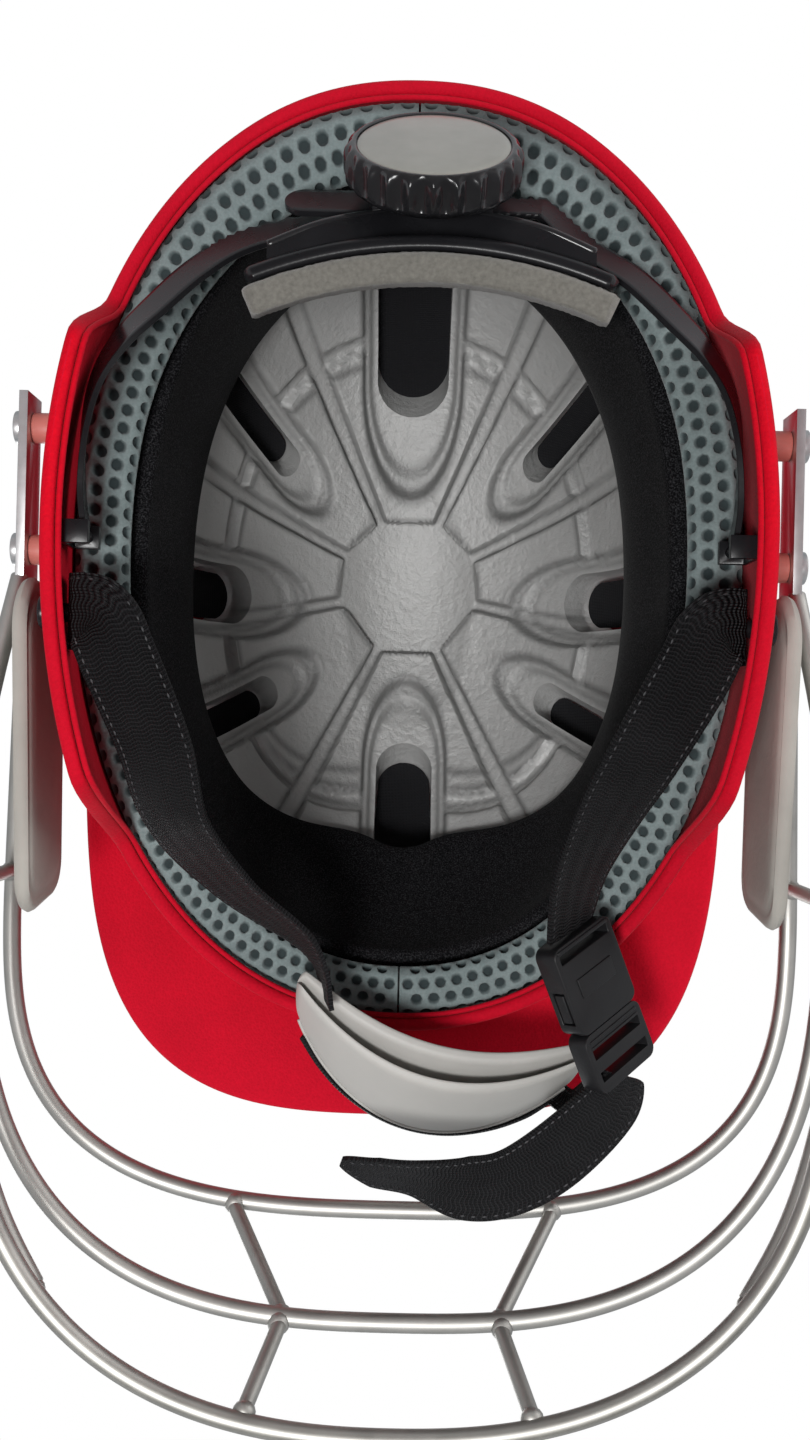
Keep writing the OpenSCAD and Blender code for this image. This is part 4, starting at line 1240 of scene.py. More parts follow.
whole_top = rounded_path(rail + top_hoop + mirror_x(rail), passes=10)
wire_piece("top_wire", [whole_top], ["guard_top_wire", "guard_rail_left", "guard_rail_right"])
wire_piece("middle_wire", [rounded_path(middle_hoop, passes=4)], ["guard_middle_wire"])
whole_low = rounded_path(low_tip + low_hoop + mirror_x(low_tip)[::-1], passes=10)
wire_piece("bottom_wire", [whole_low], ["guard_bottom_wire"])
cheek_path = even_path(rounded_path(cheek_wire, passes=40), 2.5 * MM)
wire_piece(
    "cheek_wires", [cheek_path, mirror_x(cheek_path)], ["guard_cheek_wire_left", "guard_cheek_wire_right"],
    radius=2.5 * MM,
)
bars = [rounded_path(p, passes=0) for p in uprights + [side_upright]]
wire_piece(
    "upright_bars", bars + [np.array(mirror_x(p)) for p in bars],
    ["guard_uprights", "guard_side_upright_left", "guard_side_upright_right"], WELDS, radius=2.1 * MM,
)

# %% [markdown]
# The peak and the hem carry the same red knit as the shell. The peak is a thin board under the cloth,
# so its front edge is round and its two faces swell a little between the root and the edge.

# %% The peak and the hem
PEAK_HALF, PEAK_TIP, PEAK_BACK = 101 * MM, 128.5 * MM, 7 * MM
PEAK_ROOT, PEAK_EDGE, PEAK_DROP = 107 * MM, 103 * MM, 9 * MM
PEAK_SPAN = 61
PEAK_POWER = 3.2
PEAK_THICK_HALF, PEAK_SWELL = 2.2 * MM, 0.25 * MM
HEM_RADIUS, HEM_SIDES = 0.8 * MM, 10


def peak_section(degrees):
    a = math.radians(degrees)
    s = (degrees + 90) / PEAK_SPAN
    root = dome(a, PEAK_ROOT - PEAK_DROP * s * s, 0.6 * MM)
    steer = math.atan2(root[1] + PEAK_BACK, root[0])
    dx, dy = math.cos(steer), math.sin(steer)
    spread = (abs(dx) / PEAK_HALF) ** PEAK_POWER + (abs(dy) / (PEAK_TIP - PEAK_BACK)) ** PEAK_POWER
    reach = spread ** (-1 / PEAK_POWER)
    edge = np.array([reach * dx, -PEAK_BACK + reach * dy, PEAK_EDGE - PEAK_DROP * s * s])
    out = edge - root
    out[2] = 0
    out /= np.linalg.norm(out)
    half = PEAK_THICK_HALF

    def face(side, t):
        height = half + PEAK_SWELL * math.sin(math.pi * t)
        return root + (edge - out * half - root) * t + side * np.array([0, 0, height])

    nose = []
    for turn in np.linspace(-70, 70, 9):
        t = math.radians(turn)
        nose.append(edge - out * half * (1 - math.cos(t)) + np.array([0, 0, half * math.sin(t)]))
    return [face(-1, t) for t in np.linspace(0, 1, 12)] + nose + [face(1, t) for t in np.linspace(1, 0, 12)]


sections = [peak_section(d) for d in np.linspace(-90 - PEAK_SPAN, -90 + PEAK_SPAN, 150)]
peak_faces = closed_faces(len(sections), len(sections[0]))
make_piece(
    "peak_cover", np.concatenate(sections), peak_faces, KNIT, "helmet", replaces=["peak"]
)

angles = all_round(AROUND)
hem_path = dome(angles, shell_edge(angles) + 1.0 * MM, SHELL_WALL + 0.9 * MM)
ahead = unit_rows(np.roll(hem_path, -1, axis=0) - np.roll(hem_path, 1, axis=0))
across = unit_rows(np.cross(ahead, [0, 0, 1.0]))
turns = np.linspace(0, math.tau, HEM_SIDES, endpoint=False)
hem_rings = hem_path[:, None, :] + HEM_RADIUS * spokes_of(turns, across, np.cross(across, ahead))
make_piece(
    "hem", hem_rings.reshape(-1, 3), grid_faces(len(hem_path), HEM_SIDES, close_rows=True), KNIT, "helmet",
    replaces=["edge_binding"], smooth_angle=80,
)
print("peak and hem made")

# %% [markdown]
# The hard fittings at the ears keep the shapes of their solids and get soft edges: plates, brackets,
# strap anchors, spacers, screws and inserts. The foam strips over the cheeks are new surfaces, crowned,
# with a sewn groove near the rim.

# %% Fittings at the ears
STRIP_CORNERS = [(-44, 50, 9), (-46, 32, 9), (24, 27, 12), (22, 44, 12)]
STRIP_X, STRIP_HALF = 101.5 * MM, 2.7 * MM
STRIP_POINTS = 120
STRIP_PROFILE = [
    (0.30, 1.0), (0.6, 0.99), (0.8, 0.93), (0.87, 0.80), (0.90, 0.62), (0.925, 0.66), (0.96, 0.72),
    (0.985, 0.5),
]
CIRCLE_STEPS = 60

for side in ("left", "right"):
    dressed("guard_plate_" + side, PLATE_STEEL, "helmet", bevel=0.5 * MM, segments=3)
    dressed("band_bracket_" + side, BLACK_NYLON, "helmet", bevel=0.35 * MM)
    dressed("strap_anchor_" + side, BLACK_NYLON, "helmet", bevel=0.5 * MM, segments=3)
dressed("guard_spacers", SPACER_RED, "helmet", bevel=0.4 * MM)
dressed("guard_screws", PLATE_STEEL, "helmet", bevel=0.35 * MM, segments=3)
dressed("guard_inserts", BRASS, "helmet", bevel=0.25 * MM)


def hull_outline(points):
    points = sorted(set(points))

    def half(source):
        chain = []
        for p in source:
            while len(chain) > 1 and cross_of(chain[-2], chain[-1], p) <= 0:
                chain.pop()
            chain.append(p)
        return chain[:-1]

    return half(points) + half(points[::-1])


def cross_of(a, b, c):
    return (b[0] - a[0]) * (c[1] - a[1]) - (b[1] - a[1]) * (c[0] - a[0])


def even_outline(circles, count):
    samples = []
    for y, z, r in circles:
        for j in range(CIRCLE_STEPS):
            turn = math.tau * j / CIRCLE_STEPS
            samples.append((round(y + r * math.cos(turn), 4), round(z + r * math.sin(turn), 4)))
    hull = hull_outline(samples)
    outline = np.array(hull + hull[:1])
    return points_at(outline, np.linspace(0, run_lengths(outline)[-1], count, endpoint=False)) * MM


def cheek_strip(side, node):
    outline = even_outline(STRIP_CORNERS, STRIP_POINTS)
    middle = outline.mean(axis=0)
    layers = STRIP_PROFILE + [(1.0, 0.0)] + [(s, -h) for s, h in reversed(STRIP_PROFILE)]
    points = []
    for share, height in layers:
        for p in outline:
            y, z = middle + (p - middle) * share
            points.append((side * (STRIP_X + STRIP_HALF * height), y, z))
    faces = closed_faces(len(layers), len(outline))
    strip = make_piece(node + "_foam", points, faces, STRIP_FOAM, "helmet", replaces=[node])


cheek_strip(LEFT, "cheek_pad_left")
cheek_strip(RIGHT, "cheek_pad_right")
print("plates, screws, brackets and two cheek strips made")

# %% [markdown]
# The adjuster's parts sit on a tilted axis. A point is given by its place across, along the face and
# through it, and turned into the helmet's frame. The dial is one surface of revolution whose rim is
# pressed into 24 finger flutes, and its cap is a shallow dome in a recess.

# %% The adjuster's dial and cap
DIAL_X, DIAL_Y, DIAL_Z = -4 * MM, 152 * MM, 17.5 * MM
TILT = math.radians(44)
FLUTES = 24


def from_dial(across, along, through, middle=DIAL_X):
    y = DIAL_Y - along * math.sin(TILT) + through * math.cos(TILT)
    z = DIAL_Z - along * math.cos(TILT) - through * math.sin(TILT)
    return np.stack(np.broadcast_arrays(middle + across, y, z), axis=-1)


def turned_piece(name, profile, finish, node, flutes=False, count=288):
    turns = np.linspace(0, math.tau, count, endpoint=False)
    rings = []
    for radius, through, bite in profile:
        r = radius * MM - (bite * MM * np.abs(np.sin(turns * FLUTES / 2)) ** 1.4 if flutes else 0)
        rings.append(from_dial(r * np.cos(turns), r * np.sin(turns), np.full(count, through * MM)))
    faces = closed_faces(len(rings), count)
    make_piece(name, np.concatenate(rings), faces, finish, "dial", replaces=[node])


DIAL_PROFILE = [
    (19.6, -1.0, 0), (20.55, -1.0, 0), (20.6, -0.25, 0), (20.9, -0.05, 0), (21.4, 0, 0.0),
    (22.1, -0.25, 0.15), (22.9, -0.9, 0.7), (23.6, -1.9, 1.5), (23.95, -3.2, 1.9), (24.0, -5.0, 2.0),
    (24.0, -7.2, 2.0),
    (23.8, -8.6, 1.8), (23.3, -9.5, 0.9), (22.3, -10.4, 0.3), (21.0, -11.4, 0), (20.0, -11.9, 0),
    (19.0, -12.0, 0), (8.0, -12.0, 0),
]
CAP_PROFILE = [
    (4.0, 0.28, 0), (10.0, 0.22, 0), (15.0, 0.1, 0), (18.5, -0.08, 0), (19.8, -0.22, 0), (20.25, -0.5, 0),
    (20.25, -0.95, 0),
]
turned_piece("dial_grip", DIAL_PROFILE, DIAL_NYLON, "adjuster_dial", flutes=True)
turned_piece("dial_face", CAP_PROFILE, CAP_GREY, "dial_cap", count=120)
print("dial with", FLUTES, "flutes made")

# %% [markdown]
# Bands of nylon and straps of webbing are both flat strips with rounded edges, swept along a smooth curve
# through the same stations as their solids. Where the strip is woven, its mesh also stores how far along and
# across each corner lies.

# %% Helpers for curves and bands
def smooth_curve(stations, steps):
    p = np.array(stations, float)
    out = []
    for i in range(len(p) - 1):
        a, b, c, d = p[max(i - 1, 0)], p[i], p[i + 1], p[min(i + 2, len(p) - 1)]
        for s in range(steps):
            u = s / steps
            cubic = (3 * b - a - 3 * c + d) * u ** 3
            out.append(0.5 * (2 * b + (c - a) * u + (2 * a - 5 * b + 4 * c - d) * u * u + cubic))
    out.append(p[-1])
    return np.array(out)


def strip_frame(path, across):
    tangents = unit_rows(np.gradient(path, axis=0))
    side = unit_rows(across - tangents * np.sum(across * tangents, axis=1, keepdims=True))
    return tangents, side, np.cross(tangents, side)


def band_outline(columns, corner):
    upper = [(t, 1.0) for t in np.linspace(0.02, 0.98, columns + 1)]
    lower = [(t, -1.0) for t in np.linspace(0.98, 0.02, columns + 1)]
    high_end = [(0.995, 1 - corner), (0.995, corner - 1)]
    low_end = [(0.005, corner - 1), (0.005, 1 - corner)]
    return upper + high_end + lower + low_end


def band_piece(name, path, across, low, high, thick, finish, body, nodes, columns=8, weave=False):
    side, face = strip_frame(path, across)[1:]
    outline = band_outline(columns, min(0.45, 0.3 * MM / thick))
    rings, marks = [], []
    for t, height in outline:
        place = low + (high - low) * t
        rings.append(path + side * place[:, None] + face * (height * thick / 2))
        marks.append(place)
    points = np.stack(rings, axis=1).reshape(-1, 3)
    faces = closed_faces(len(path), len(outline))
    piece = make_piece(name, points, faces, finish, body, replaces=nodes, smooth_angle=45)
    if weave:
        places = np.stack(marks, axis=1).reshape(-1)
        along = np.repeat(run_lengths(path), len(outline))
        layer = piece.data.uv_layers.new(name="weave")
        corners = np.zeros(len(piece.data.loops), dtype=np.int32)
        piece.data.loops.foreach_get("vertex_index", corners)
        layer.data.foreach_set("uv", np.stack([along[corners], places[corners]], axis=1).ravel())


def between(a, b, share):
    return a + (b - a) * share


print("curve and band helpers ready")

# %% [markdown]
# Each band is one strip that lies flat in the housing, with teeth along its upper edge for the pinion.
# The left one ends in a round tip and the right one, which reaches further, in a wider oval. A band
# stands upright at the ear and leans over with the dial's plate at the back.

# %% The adjuster's two bands
BAND_ROUTE = [
    (84, 48.4, 12), (85.2, 58, 12.2), (85, 72, 13), (82.8, 86, 15),
    (77.6, 97.5, 18), (69, 108.5, 21.5), (58.5, 120, 25.5), (46.5, 129, 29.5),
]
STRAIGHT_START, RACK_START = 30, 24
BAND_THICK = 1.6 * MM
EAR_LEAN = 0.12
TIP_ROUND = 5.5
OVAL_FROM = 23
TEETH_FROM, TEETH_TO = 24, 88
TOOTH_DEPTH, TOOTH_PITCH = 1.5, 2.6


def head_band(side, level, tip, oval, body, node):
    def at_level(x):
        return from_dial(x * MM, 0.0, level * MM, side * DIAL_X) / MM

    joint_end, rack_start = at_level(STRAIGHT_START), at_level(RACK_START)
    curve = list(smooth_curve(BAND_ROUTE + [tuple(joint_end)], 14)[:-1])
    straight = [between(joint_end, rack_start, t) for t in np.linspace(0, 1, 8, endpoint=False)]
    rack = [at_level(x) for x in np.arange(RACK_START, tip, -0.4)]
    last = [at_level(x) for x in np.linspace(tip + 0.3, tip + 0.02, 4)]
    path = np.array(curve + straight + rack + last)
    n = len(path)
    bent = len(curve) + len(straight)
    steps = np.arange(n) / bent
    ahead = np.gradient(path, axis=0)
    outward = unit_rows(np.stack([ahead[:, 1], -ahead[:, 0], np.zeros(n)], axis=1))
    lean = (TILT * (EAR_LEAN + (1 - EAR_LEAN) * smooth(steps * 1.5)))[:, None]
    across = np.array([0, 0, 1.0]) * np.cos(lean) + outward * np.sin(lean)
    width = 10 + 3 * smooth((steps - 0.08) / 0.17) - 2 * smooth((steps - 0.8) / 0.2)
    lengths = run_lengths(path)
    from_tip = lengths[-1] - lengths
    round_end = np.sqrt(np.clip(1 - np.clip((TIP_ROUND - from_tip) / TIP_ROUND, 0, 1) ** 2, 0.0004, 1))
    half = width / 2 * round_end
    half = half + oval * smooth((OVAL_FROM - from_tip) / 3) * round_end
    toothed = smooth((from_tip - TEETH_FROM) / 2) * (from_tip < TEETH_TO)
    teeth = TOOTH_DEPTH * (np.sin(from_tip * math.tau / TOOTH_PITCH) > 0.1) * toothed
    points = path * MM
    points[:, 0] *= side
    across[:, 0] *= side
    low, high = -half * MM, (half - teeth * (half > 4)) * MM
    name = node + "_strap"
    band_piece(name, points, across, low, high, BAND_THICK, BLACK_NYLON, body, [node])


head_band(LEFT, -22, -26, 0, "left_band", "head_band_left")
head_band(RIGHT, -17, -40, 1.6, "right_band", "head_band_right")
print("two toothed bands made")

# %% [markdown]
# Behind the head sits a felt-faced pad on a curved carrier. The carrier has a rolled lip. A web with a
# rounded rim joins it to the housing and runs out to both sides like wings. The felt is given a
# slightly uneven surface.

# %% Housing, carrier and pad
NAPE_LOW, NAPE_LEAN, NAPE_ARC = 8, 0.28, 112
FELT_THICK, FELT_TOP, FELT_CORNER, FELT_WAVER = 8, 38, 1.6, 0.13
CARRIER_OUTLINE = [
    (8.4, 10.6), (8.9, 9.9), (10.0, 9.4), (11.6, 9.6), (12.5, 10.6), (12.4, 11.8), (11.6, 12.7),
    (10.8, 13.6), (10.7, 18.0), (10.7, 24.0), (10.7, 30.0), (10.7, 35.0), (10.2, 36.0), (9.4, 36.2),
    (8.5, 35.6), (8.3, 30.0), (8.3, 24.0), (8.3, 18.0), (8.3, 12.0),
]
CORNER_POINTS = 5
WING_HALF = 43
WEB_ARC = NAPE_ARC + 10.0
RIM_RADIUS = 1.25 * MM

dressed("adjuster_housing", BLACK_NYLON, "cradle", bevel=1.1 * MM, segments=4)


def arc_piece(name, outline, half_angle, steps, finish, node, waver, ends):
    chances = random.Random(4)
    mid_r = sum(r for r, z in outline) / len(outline)
    mid_z = sum(z for r, z in outline) / len(outline)
    rings = []
    for i in range(steps):
        share = 2 * i / (steps - 1) - 1
        angle = math.radians(half_angle) * share
        shrink = 1 - ends * max(0, abs(share) - 0.97) / 0.03
        ring = []
        for r, z in outline:
            jitter = chances.uniform(-waver, waver)
            height = mid_z + (z - mid_z) * shrink + jitter
            radius = mid_r + (r - mid_r) * shrink + jitter + NAPE_LEAN * (height - NAPE_LOW)
            ring.append((DIAL_X + radius * MM * math.sin(angle), radius * MM * math.cos(angle), height * MM))
        rings.append(ring)
    faces = closed_faces(steps, len(outline))
    points = np.array(rings).reshape(-1, 3)
    return make_piece(name, points, faces, finish, "cradle", replaces=[node], smooth_angle=50)


def rounded_box(r0, r1, z0, z1, corner, sides):
    spots = [
        (r1 - corner, z1 - corner, 0), (r0 + corner, z1 - corner, 90),
        (r0 + corner, z0 + corner, 180), (r1 - corner, z0 + corner, 270),
    ]

    def on_corner(spot, degrees):
        t = math.radians(degrees)
        return spot[0] + corner * math.cos(t), spot[1] + corner * math.sin(t)

    out = []
    for k, spot in enumerate(spots):
        for j in range(CORNER_POINTS):
            out.append(on_corner(spot, spot[2] + 90 * j / (CORNER_POINTS - 1)))
        following = spots[(k + 1) % 4]
        here, target = np.array(out[-1]), np.array(on_corner(following, following[2]))
        out.extend(tuple(between(here, target, j / sides)) for j in range(1, sides))
    return out


felt_outline = rounded_box(NAPE_ARC, NAPE_ARC + FELT_THICK, NAPE_LOW, FELT_TOP, FELT_CORNER, 6)
felt = arc_piece("nape_felt", felt_outline, 24, 120, FELT, "nape_pad", FELT_WAVER, 0.12)
carrier_outline = [(NAPE_ARC + r, z) for r, z in CARRIER_OUTLINE]
arc_piece(
    "carrier_plate", carrier_outline, 23, 100, BLACK_NYLON, "nape_pad_carrier", 0.0, 0.35
)


def wing_edge(share):
    x = WING_HALF * share
    y = math.sqrt((WEB_ARC + NAPE_LEAN * 9) ** 2 - x * x) + 6.2 + 6.5 * (1 - abs(share)) ** 1.2
    return x, y, 24.5 - 9.5 * smooth(abs(share) * 1.3)


def carrier_web():
    rings = []
    for share in np.linspace(-1, 1, 101):
        x, y_far, height = wing_edge(share)
        y_near = math.sqrt((WEB_ARC + NAPE_LEAN * (height - NAPE_LOW)) ** 2 - x * x) - 0.6
        tall = 1.9 - 1.0 * abs(share)
        ring = []
        for r, z in rounded_box(0, 1, -1, 1, 0.2, 4):
            y = y_near + (y_far - y_near) * r
            lift = -2.4 * (1 - r) * math.sin(math.pi * min(1, abs(share) * 1.2)) * 0.6
            ring.append((DIAL_X + x * MM, y * MM, (height + z * tall + lift) * MM))
        rings.append(ring)
    faces = closed_faces(len(rings), len(rings[0]))
    points = np.array(rings).reshape(-1, 3)
    make_piece("carrier_web", points, faces, BLACK_NYLON, "cradle", smooth_angle=50)


carrier_web()
rim_points, rim_faces = [], []
rim = [wing_edge(share) for share in np.linspace(-0.99, 0.99, 90)]
rim_path = np.array([(DIAL_X + x * MM, y * MM, z * MM) for x, y, z in rim])
add_tube(rim_points, rim_faces, rim_path, RIM_RADIUS, 14)
make_piece("carrier_rim", rim_points, rim_faces, DIAL_NYLON, "cradle", smooth_angle=70)
print("housing, carrier, web, rim and felt pad made")

# %% [markdown]
# Each strap follows the same listed stations as its solid, at 12 steps from one to the next. The first list
# holds the middle of the webbing and the second the way that its width points.

# %% Strap routes
STRAP_THICK = 1.5
STRAP_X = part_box("chin_strap_left")[1][0] / MM - STRAP_THICK / 2
LEFT_ROUTE = [
    (STRAP_X, 26, 20.5), (STRAP_X, 26, 11.5), (78.8, 24.5, 7.6), (73.6, 13.5, 8.5), (65.6, -8.1, 16),
    (61.5, -29.5, 31), (48.5, -48.7, 48), (31, -64, 60), (23.5, -75, 65), (21.5, -84, 67),
]
LEFT_ACROSS = [
    (0, 1, 0), (0, 1, 0), (0, 1, 0), (-0.7, 0.7, 0), (-0.76, 0.55, -0.3), (-0.5, 0.53, -0.66),
    (-0.38, 0.42, -0.82), (-0.3, 0.3, -0.9), (-0.2, 0.1, -0.97), (-0.2, 0, -0.98),
]
RIGHT_ROUTE = [
    (-STRAP_X, 26, 20.5), (-STRAP_X, 26, 11.5), (-78.9, 24.5, 7.6), (-73.1, 13, 8.5), (-63.4, -6.8, 15),
    (-56, -24, 27), (-50.2, -42.3, 39), (-48.5, -59.1, 48.3),
]
RIGHT_ACROSS = [
    (0, 1, 0), (0, 1, 0), (0, 1, 0), (0.7, 0.7, 0), (0.8, 0.5, -0.25), (0.82, 0.3, -0.45), (0.8, 0, -0.6),
    (0.69, -0.39, -0.61),
]
TAIL_ROUTE = [
    (-65.8, -101.7, 55.6), (-62, -110.5, 54.6), (-47, -124.5, 53), (-33.4, -132.6, 52), (-20.8, -134.2, 51),
    (-6.9, -131.4, 50), (5.5, -129.6, 49), (15.2, -126.6, 49),
]
TAIL_ACROSS = [
    (-0.69, 0.39, 0.61), (-0.75, -0.5, 0.3), (-0.5, -0.86, 0), (-0.2, -0.97, 0.1), (0.1, -0.97, 0.2),
    (0.25, -0.7, 0.6), (0.2, -0.7, 0.65), (0.3, -0.7, 0.6),
]
TAIL_WIDTHS = [20, 20, 20, 20, 20, 18, 15, 3]
print("strap routes ready, strap at", round(STRAP_X, 2), "mm from the middle")

# %% [markdown]
# The cup is a leaning trough that opens downwards. Its wall has seven corners at each station, and
# every corner is rounded here. Its x runs from tip to tip before it is turned into place. Three thin
# beads run along its edges.

# %% Shape of the chin cup
CUP_TURN, CUP_X, CUP_Y, CUP_LONG, CUP_WALL = math.radians(13), -13, -91.5, 90, 3.5
CUP_SAG = -17
CUP_CORNER = 1.6
CORNER_SHARE = 0.36
SIDE_STEPS = 5


def in_cup(p):
    c, s = math.cos(CUP_TURN), math.sin(CUP_TURN)
    return np.array([CUP_X + p[0] * c - p[1] * s, CUP_Y + p[0] * s + p[1] * c, p[2]])


def cup_swell(u):
    return 0.16 + 0.84 * max(0.0, 1 - u * u) ** 0.6


def cup_lip(u):
    g = cup_swell(u)
    return np.array([u * CUP_LONG / 2, CUP_SAG * (1 - u * u) - between(1, 19, g), between(72, 82, g)])


def cup_top(u):
    g = cup_swell(u)
    return np.array([u * CUP_LONG / 2, CUP_SAG * (1 - u * u) - between(0, 13, g), between(75, 85.5, g)])


def cup_corners(u):
    g, sag, x = cup_swell(u), CUP_SAG * (1 - u * u), u * CUP_LONG / 2
    return np.array([
        (x, sag + between(2, 0, g), 61 + 5 * u * u), cup_lip(u), cup_top(u),
        (x, sag + between(5, 13, g), 63 + 5 * u * u),
        (x, sag + between(5, 13, g) - min(CUP_WALL, CUP_WALL * (g + 0.2)), 62 + 5 * u * u),
        (x, sag - between(-1, 12, g), between(71, 80.5, g)),
        (x, sag + between(3.4, CUP_WALL, g), 61 + 5 * u * u),
    ])


def toward(p, q):
    arm = q - p
    long = np.linalg.norm(arm)
    return p + arm / long * min(CUP_CORNER, CORNER_SHARE * long)


def rounded_ring(corners):
    out = []
    for k, p in enumerate(corners):
        following = corners[(k + 1) % len(corners)]
        start, end, goal = toward(p, corners[k - 1]), toward(p, following), toward(following, p)
        for t in np.linspace(0, 1, 5):
            out.append(start * (1 - t) ** 2 + 2 * p * t * (1 - t) + end * t * t)
        for j in range(1, SIDE_STEPS):
            out.append(end + (goal - end) * j / SIDE_STEPS)
    return np.array(out)


def cup_section(u):
    ring = rounded_ring(cup_corners(u))
    past = max(0.0, (abs(u) - 0.95) / 0.05)
    middle = ring.mean(axis=0)
    return middle + (ring - middle) * math.sqrt(max(0.03, 1 - past * past))


stations = [math.sin(math.radians(t)) for t in np.linspace(-90, 90, 120)]
cup_rings = [np.array([in_cup(p) for p in cup_section(u)]) * MM for u in stations]
make_piece(
    "cup_body", np.concatenate(cup_rings), closed_faces(len(cup_rings), len(cup_rings[0])), CUP_RUBBER,
    "chin_strap", replaces=["chin_cup"], smooth_angle=60,
)

bead_points, bead_faces = [], []
for height, thick in ((0.93, 0.75), (0.08, 0.6)):
    bead = []
    for u in np.linspace(-0.93, 0.93, 120):
        bead.append(in_cup(between(cup_lip(u), cup_top(u), height) + np.array([0, -0.3, 0.1])) * MM)
    add_tube(bead_points, bead_faces, np.array(bead), thick * MM, 10)
inner_bead = [in_cup(cup_corners(u)[5] + np.array([0, 0.2, -0.2])) * MM for u in np.linspace(-0.9, 0.9, 120)]
add_tube(bead_points, bead_faces, np.array(inner_bead), 0.55 * MM, 10)
make_piece("cup_beads", bead_points, bead_faces, CUP_RUBBER, "chin_strap", smooth_angle=70)
print("cup made of", len(cup_rings), "sections with", len(cup_rings[0]), "points each")

# %% [markdown]
# Webbing is sewn. Rows of thread run along both edges of each strap, and each stitch is a small lens
# of thread that stands a little proud of the weave.

# %% Straps and their stitches
STITCH_PITCH, STITCH_HALF, STITCH_WIDE_HALF = 2.6 * MM, 0.85, 0.28
STITCH_INSET, STITCH_END = 1.6 * MM, 2.0 * MM
STITCH_SINK, STITCH_PROUD = 0.1, 0.2


def stitch_rows(name, path, across, widths):
    places = run_lengths(path)
    tracks = (path, *strip_frame(path, across))
    points, faces = [], []
    for at in np.arange(STITCH_END, places[-1] - STITCH_END, STITCH_PITCH):
        p, t, s, f = (np.array([np.interp(at, places, v[:, i]) for i in range(3)]) for v in tracks)
        half = float(np.interp(at, places, widths)) / 2 - STITCH_INSET
        if half < 2 * MM:
            continue
        for edge in (-half, half):
            for out in (-1, 1):
                centre = p + s * edge + f * out * (STRAP_THICK / 2 * MM + 0.02 * MM)
                start = len(points)
                points += [centre - t * STITCH_HALF * MM, centre + t * STITCH_HALF * MM]
                points += [centre - s * STITCH_WIDE_HALF * MM, centre + s * STITCH_WIDE_HALF * MM]
                points += [centre - f * out * STITCH_SINK * MM, centre + f * out * STITCH_PROUD * MM]
                for a, b in ((2, 5), (5, 3), (3, 4), (4, 2)):
                    faces += [(start, start + a, start + b), (start + 1, start + b, start + a)]
    make_piece(name, points, faces, THREAD, "chin_strap", smooth_angle=80)


def strap(name, route, across, widths, node):
    path = smooth_curve(route, 12) * MM
    ways = smooth_curve(across, 12)
    wide = np.interp(np.linspace(0, 1, len(path)), np.linspace(0, 1, len(widths)), widths) * MM
    band_piece(
        name, path, ways, -wide / 2, wide / 2, STRAP_THICK * MM, WEBBING, "chin_strap",
        [node], columns=12, weave=True,
    )
    stitch_rows(name + "_stitches", path, ways, wide)
    return float(run_lengths(path)[-1])


THREAD = plastic("black_thread", (0.012, 0.012, 0.013), (0.05, 0.05, 0.055), 0.55, 400, 0.0001)
left_length = strap("strap_left", LEFT_ROUTE, LEFT_ACROSS, [20, 20], "chin_strap_left")
right_length = strap("strap_right", RIGHT_ROUTE, RIGHT_ACROSS, [20, 20], "chin_strap_right")
tail_length = strap("strap_tail", TAIL_ROUTE, TAIL_ACROSS, TAIL_WIDTHS, "chin_strap_tail")

UNDER_SHARES = [0.86, 0.7, 0.5, 0.25, 0, -0.25, -0.5, -0.7, -0.86]
UNDER_CLEAR = STRAP_THICK / 2 + 0.7


def under_way(u):
    way = cup_top(u) - cup_lip(u)
    return way / np.linalg.norm(way)


def under_point(u):
    way = under_way(u)
    return in_cup((cup_lip(u) + cup_top(u)) / 2 + UNDER_CLEAR * np.array([0, -way[2], way[1]]))


origin = in_cup(np.zeros(3))
under_route = [under_point(u) for u in UNDER_SHARES]
under_route += [in_cup((-44.5, -13.5, 73)), in_cup((-47.5, -4, 63.5))]
under_across = [in_cup(under_way(u)) - origin for u in UNDER_SHARES] + [(-0.1, 0.6, 0.8), (-0.1, 0.55, 0.83)]
under_length = strap("strap_under", under_route, under_across, [8, 8], "chin_strap_under")
print("straps in metres:", *(round(v, 3) for v in (left_length, right_length, under_length, tail_length)))

# %% [markdown]
# The buckle's mouldings and the prongs keep their solids' shapes with soft edges. Small pads
# and grip ribs are added in the buckle's own frame, where y runs from the plug to the socket.

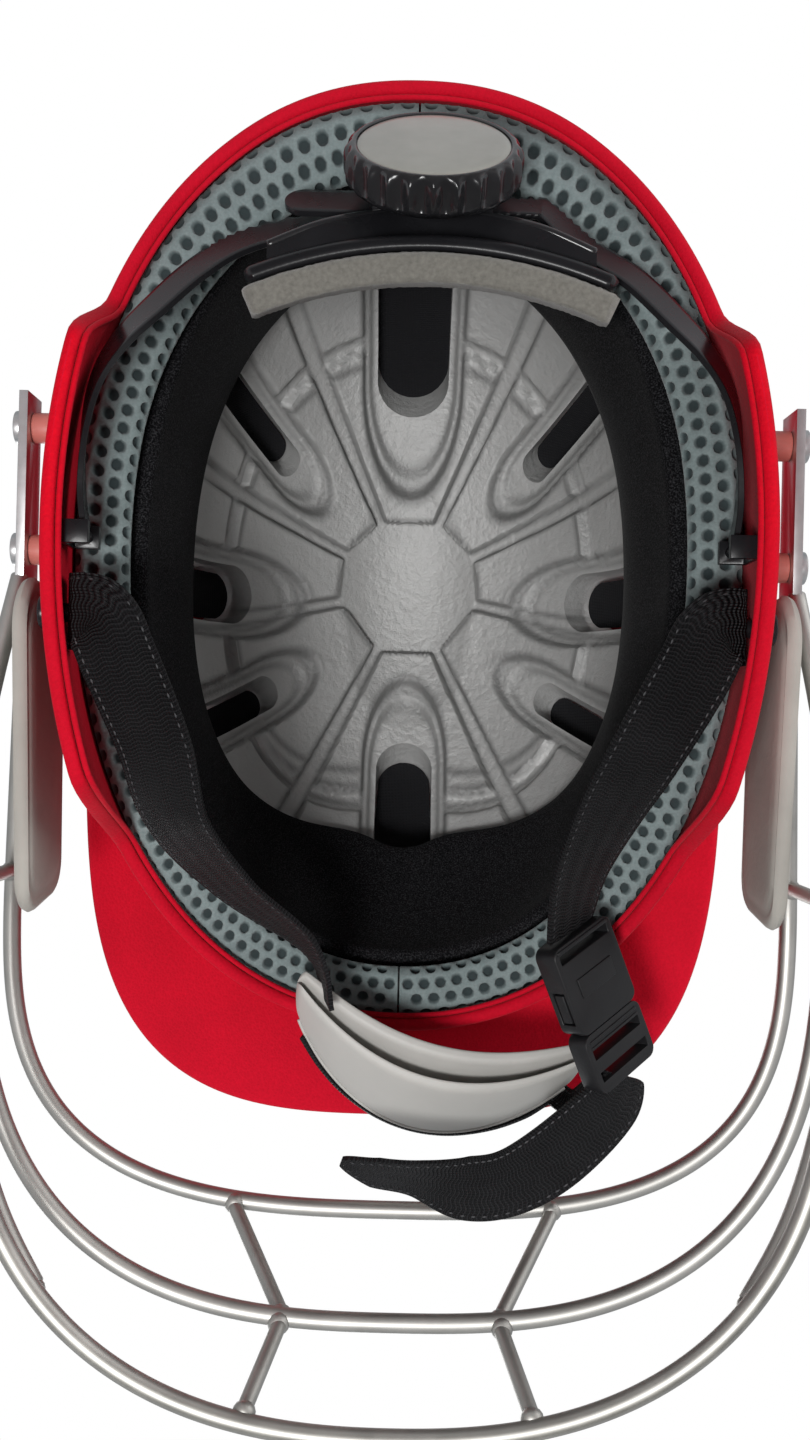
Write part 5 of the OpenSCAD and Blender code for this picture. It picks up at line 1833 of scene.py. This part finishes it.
# %% Buckle
dressed("buckle_socket", BUCKLE_NYLON, "chin_strap", bevel=0.7 * MM, segments=3)
dressed("buckle_plug", BUCKLE_NYLON, "chin_strap", bevel=0.6 * MM, segments=3)
for side in ("left", "right"):
    node = "buckle_prong_" + side
    dressed(node, BUCKLE_NYLON, side + "_prong", bevel=0.35 * MM, segments=3)
buckle_frame = (
    Matrix.Translation(Vector((-57.2, -80.5, 52)) * MM)
    @ Matrix.Rotation(math.radians(-22.1), 4, "Z")
    @ Matrix.Rotation(math.radians(-9.2), 4, "X")
    @ Matrix.Rotation(math.radians(38), 4, "Y")
)


def buckle_trim(name, boxes, bevel):
    work = bmesh.new()
    for middle, size in boxes:
        made = bmesh.ops.create_cube(work, size=1.0)
        bmesh.ops.scale(work, vec=Vector(size) * MM, verts=made["verts"])
        bmesh.ops.translate(work, vec=Vector(middle) * MM, verts=made["verts"])
    bmesh.ops.transform(work, matrix=buckle_frame, verts=work.verts)
    mesh = bpy.data.meshes.new(name)
    work.to_mesh(mesh)
    work.free()
    mesh.materials.append(BUCKLE_NYLON)
    piece = add_object(name, mesh)
    round_edges(piece, bevel, 3)
    hand_over(piece, "chin_strap")


socket_sizes = ((9, (15, 6, 0.9)), (21.6, (22, 1.2, 0.8)))
socket_trim = [((0, y, z), size) for y, size in socket_sizes for z in (-4.0, 4.0)]
buckle_trim("socket_pads", socket_trim, 0.3 * MM)
plug_trim = [((0, y, z), (21, 0.9, 0.7)) for y in (-6.6, -8.4) for z in (-3.5, 3.5)]
buckle_trim("plug_ribs", plug_trim, 0.25 * MM)
print("buckle made")

# %% [markdown]
# What is left keeps its CAD solid, and only takes a finish from its material slot.

# %% Finishes on the solids that still show
SLOT_FINISH = {
    "shell_fabric": KNIT,
    "liner_grey": LINER_SKIN,
    "black_cloth": JERSEY,
    "mesh_fabric": SPACER,
    "steel_wire": STEEL,
    "brass_insert": BRASS,
    "foam_grey": FELT,
    "black_plastic": BLACK_NYLON,
    "silver_plastic": CAP_GREY,
    "webbing_black": WEBBING,
    "cup_grey": CUP_RUBBER,
}
slot_of = {s["node"]: s["material_slot"] for s in frame["record"]["subparts"]}
shown = [n for n, o in frame["nodes"].items() if not o.hide_render]
for node in shown:
    solid = frame["nodes"][node]
    solid.data.materials.clear()
    solid.data.materials.append(SLOT_FINISH[slot_of[node]])
print(len(shown), "solids shown as they are:", ", ".join(sorted(shown)))
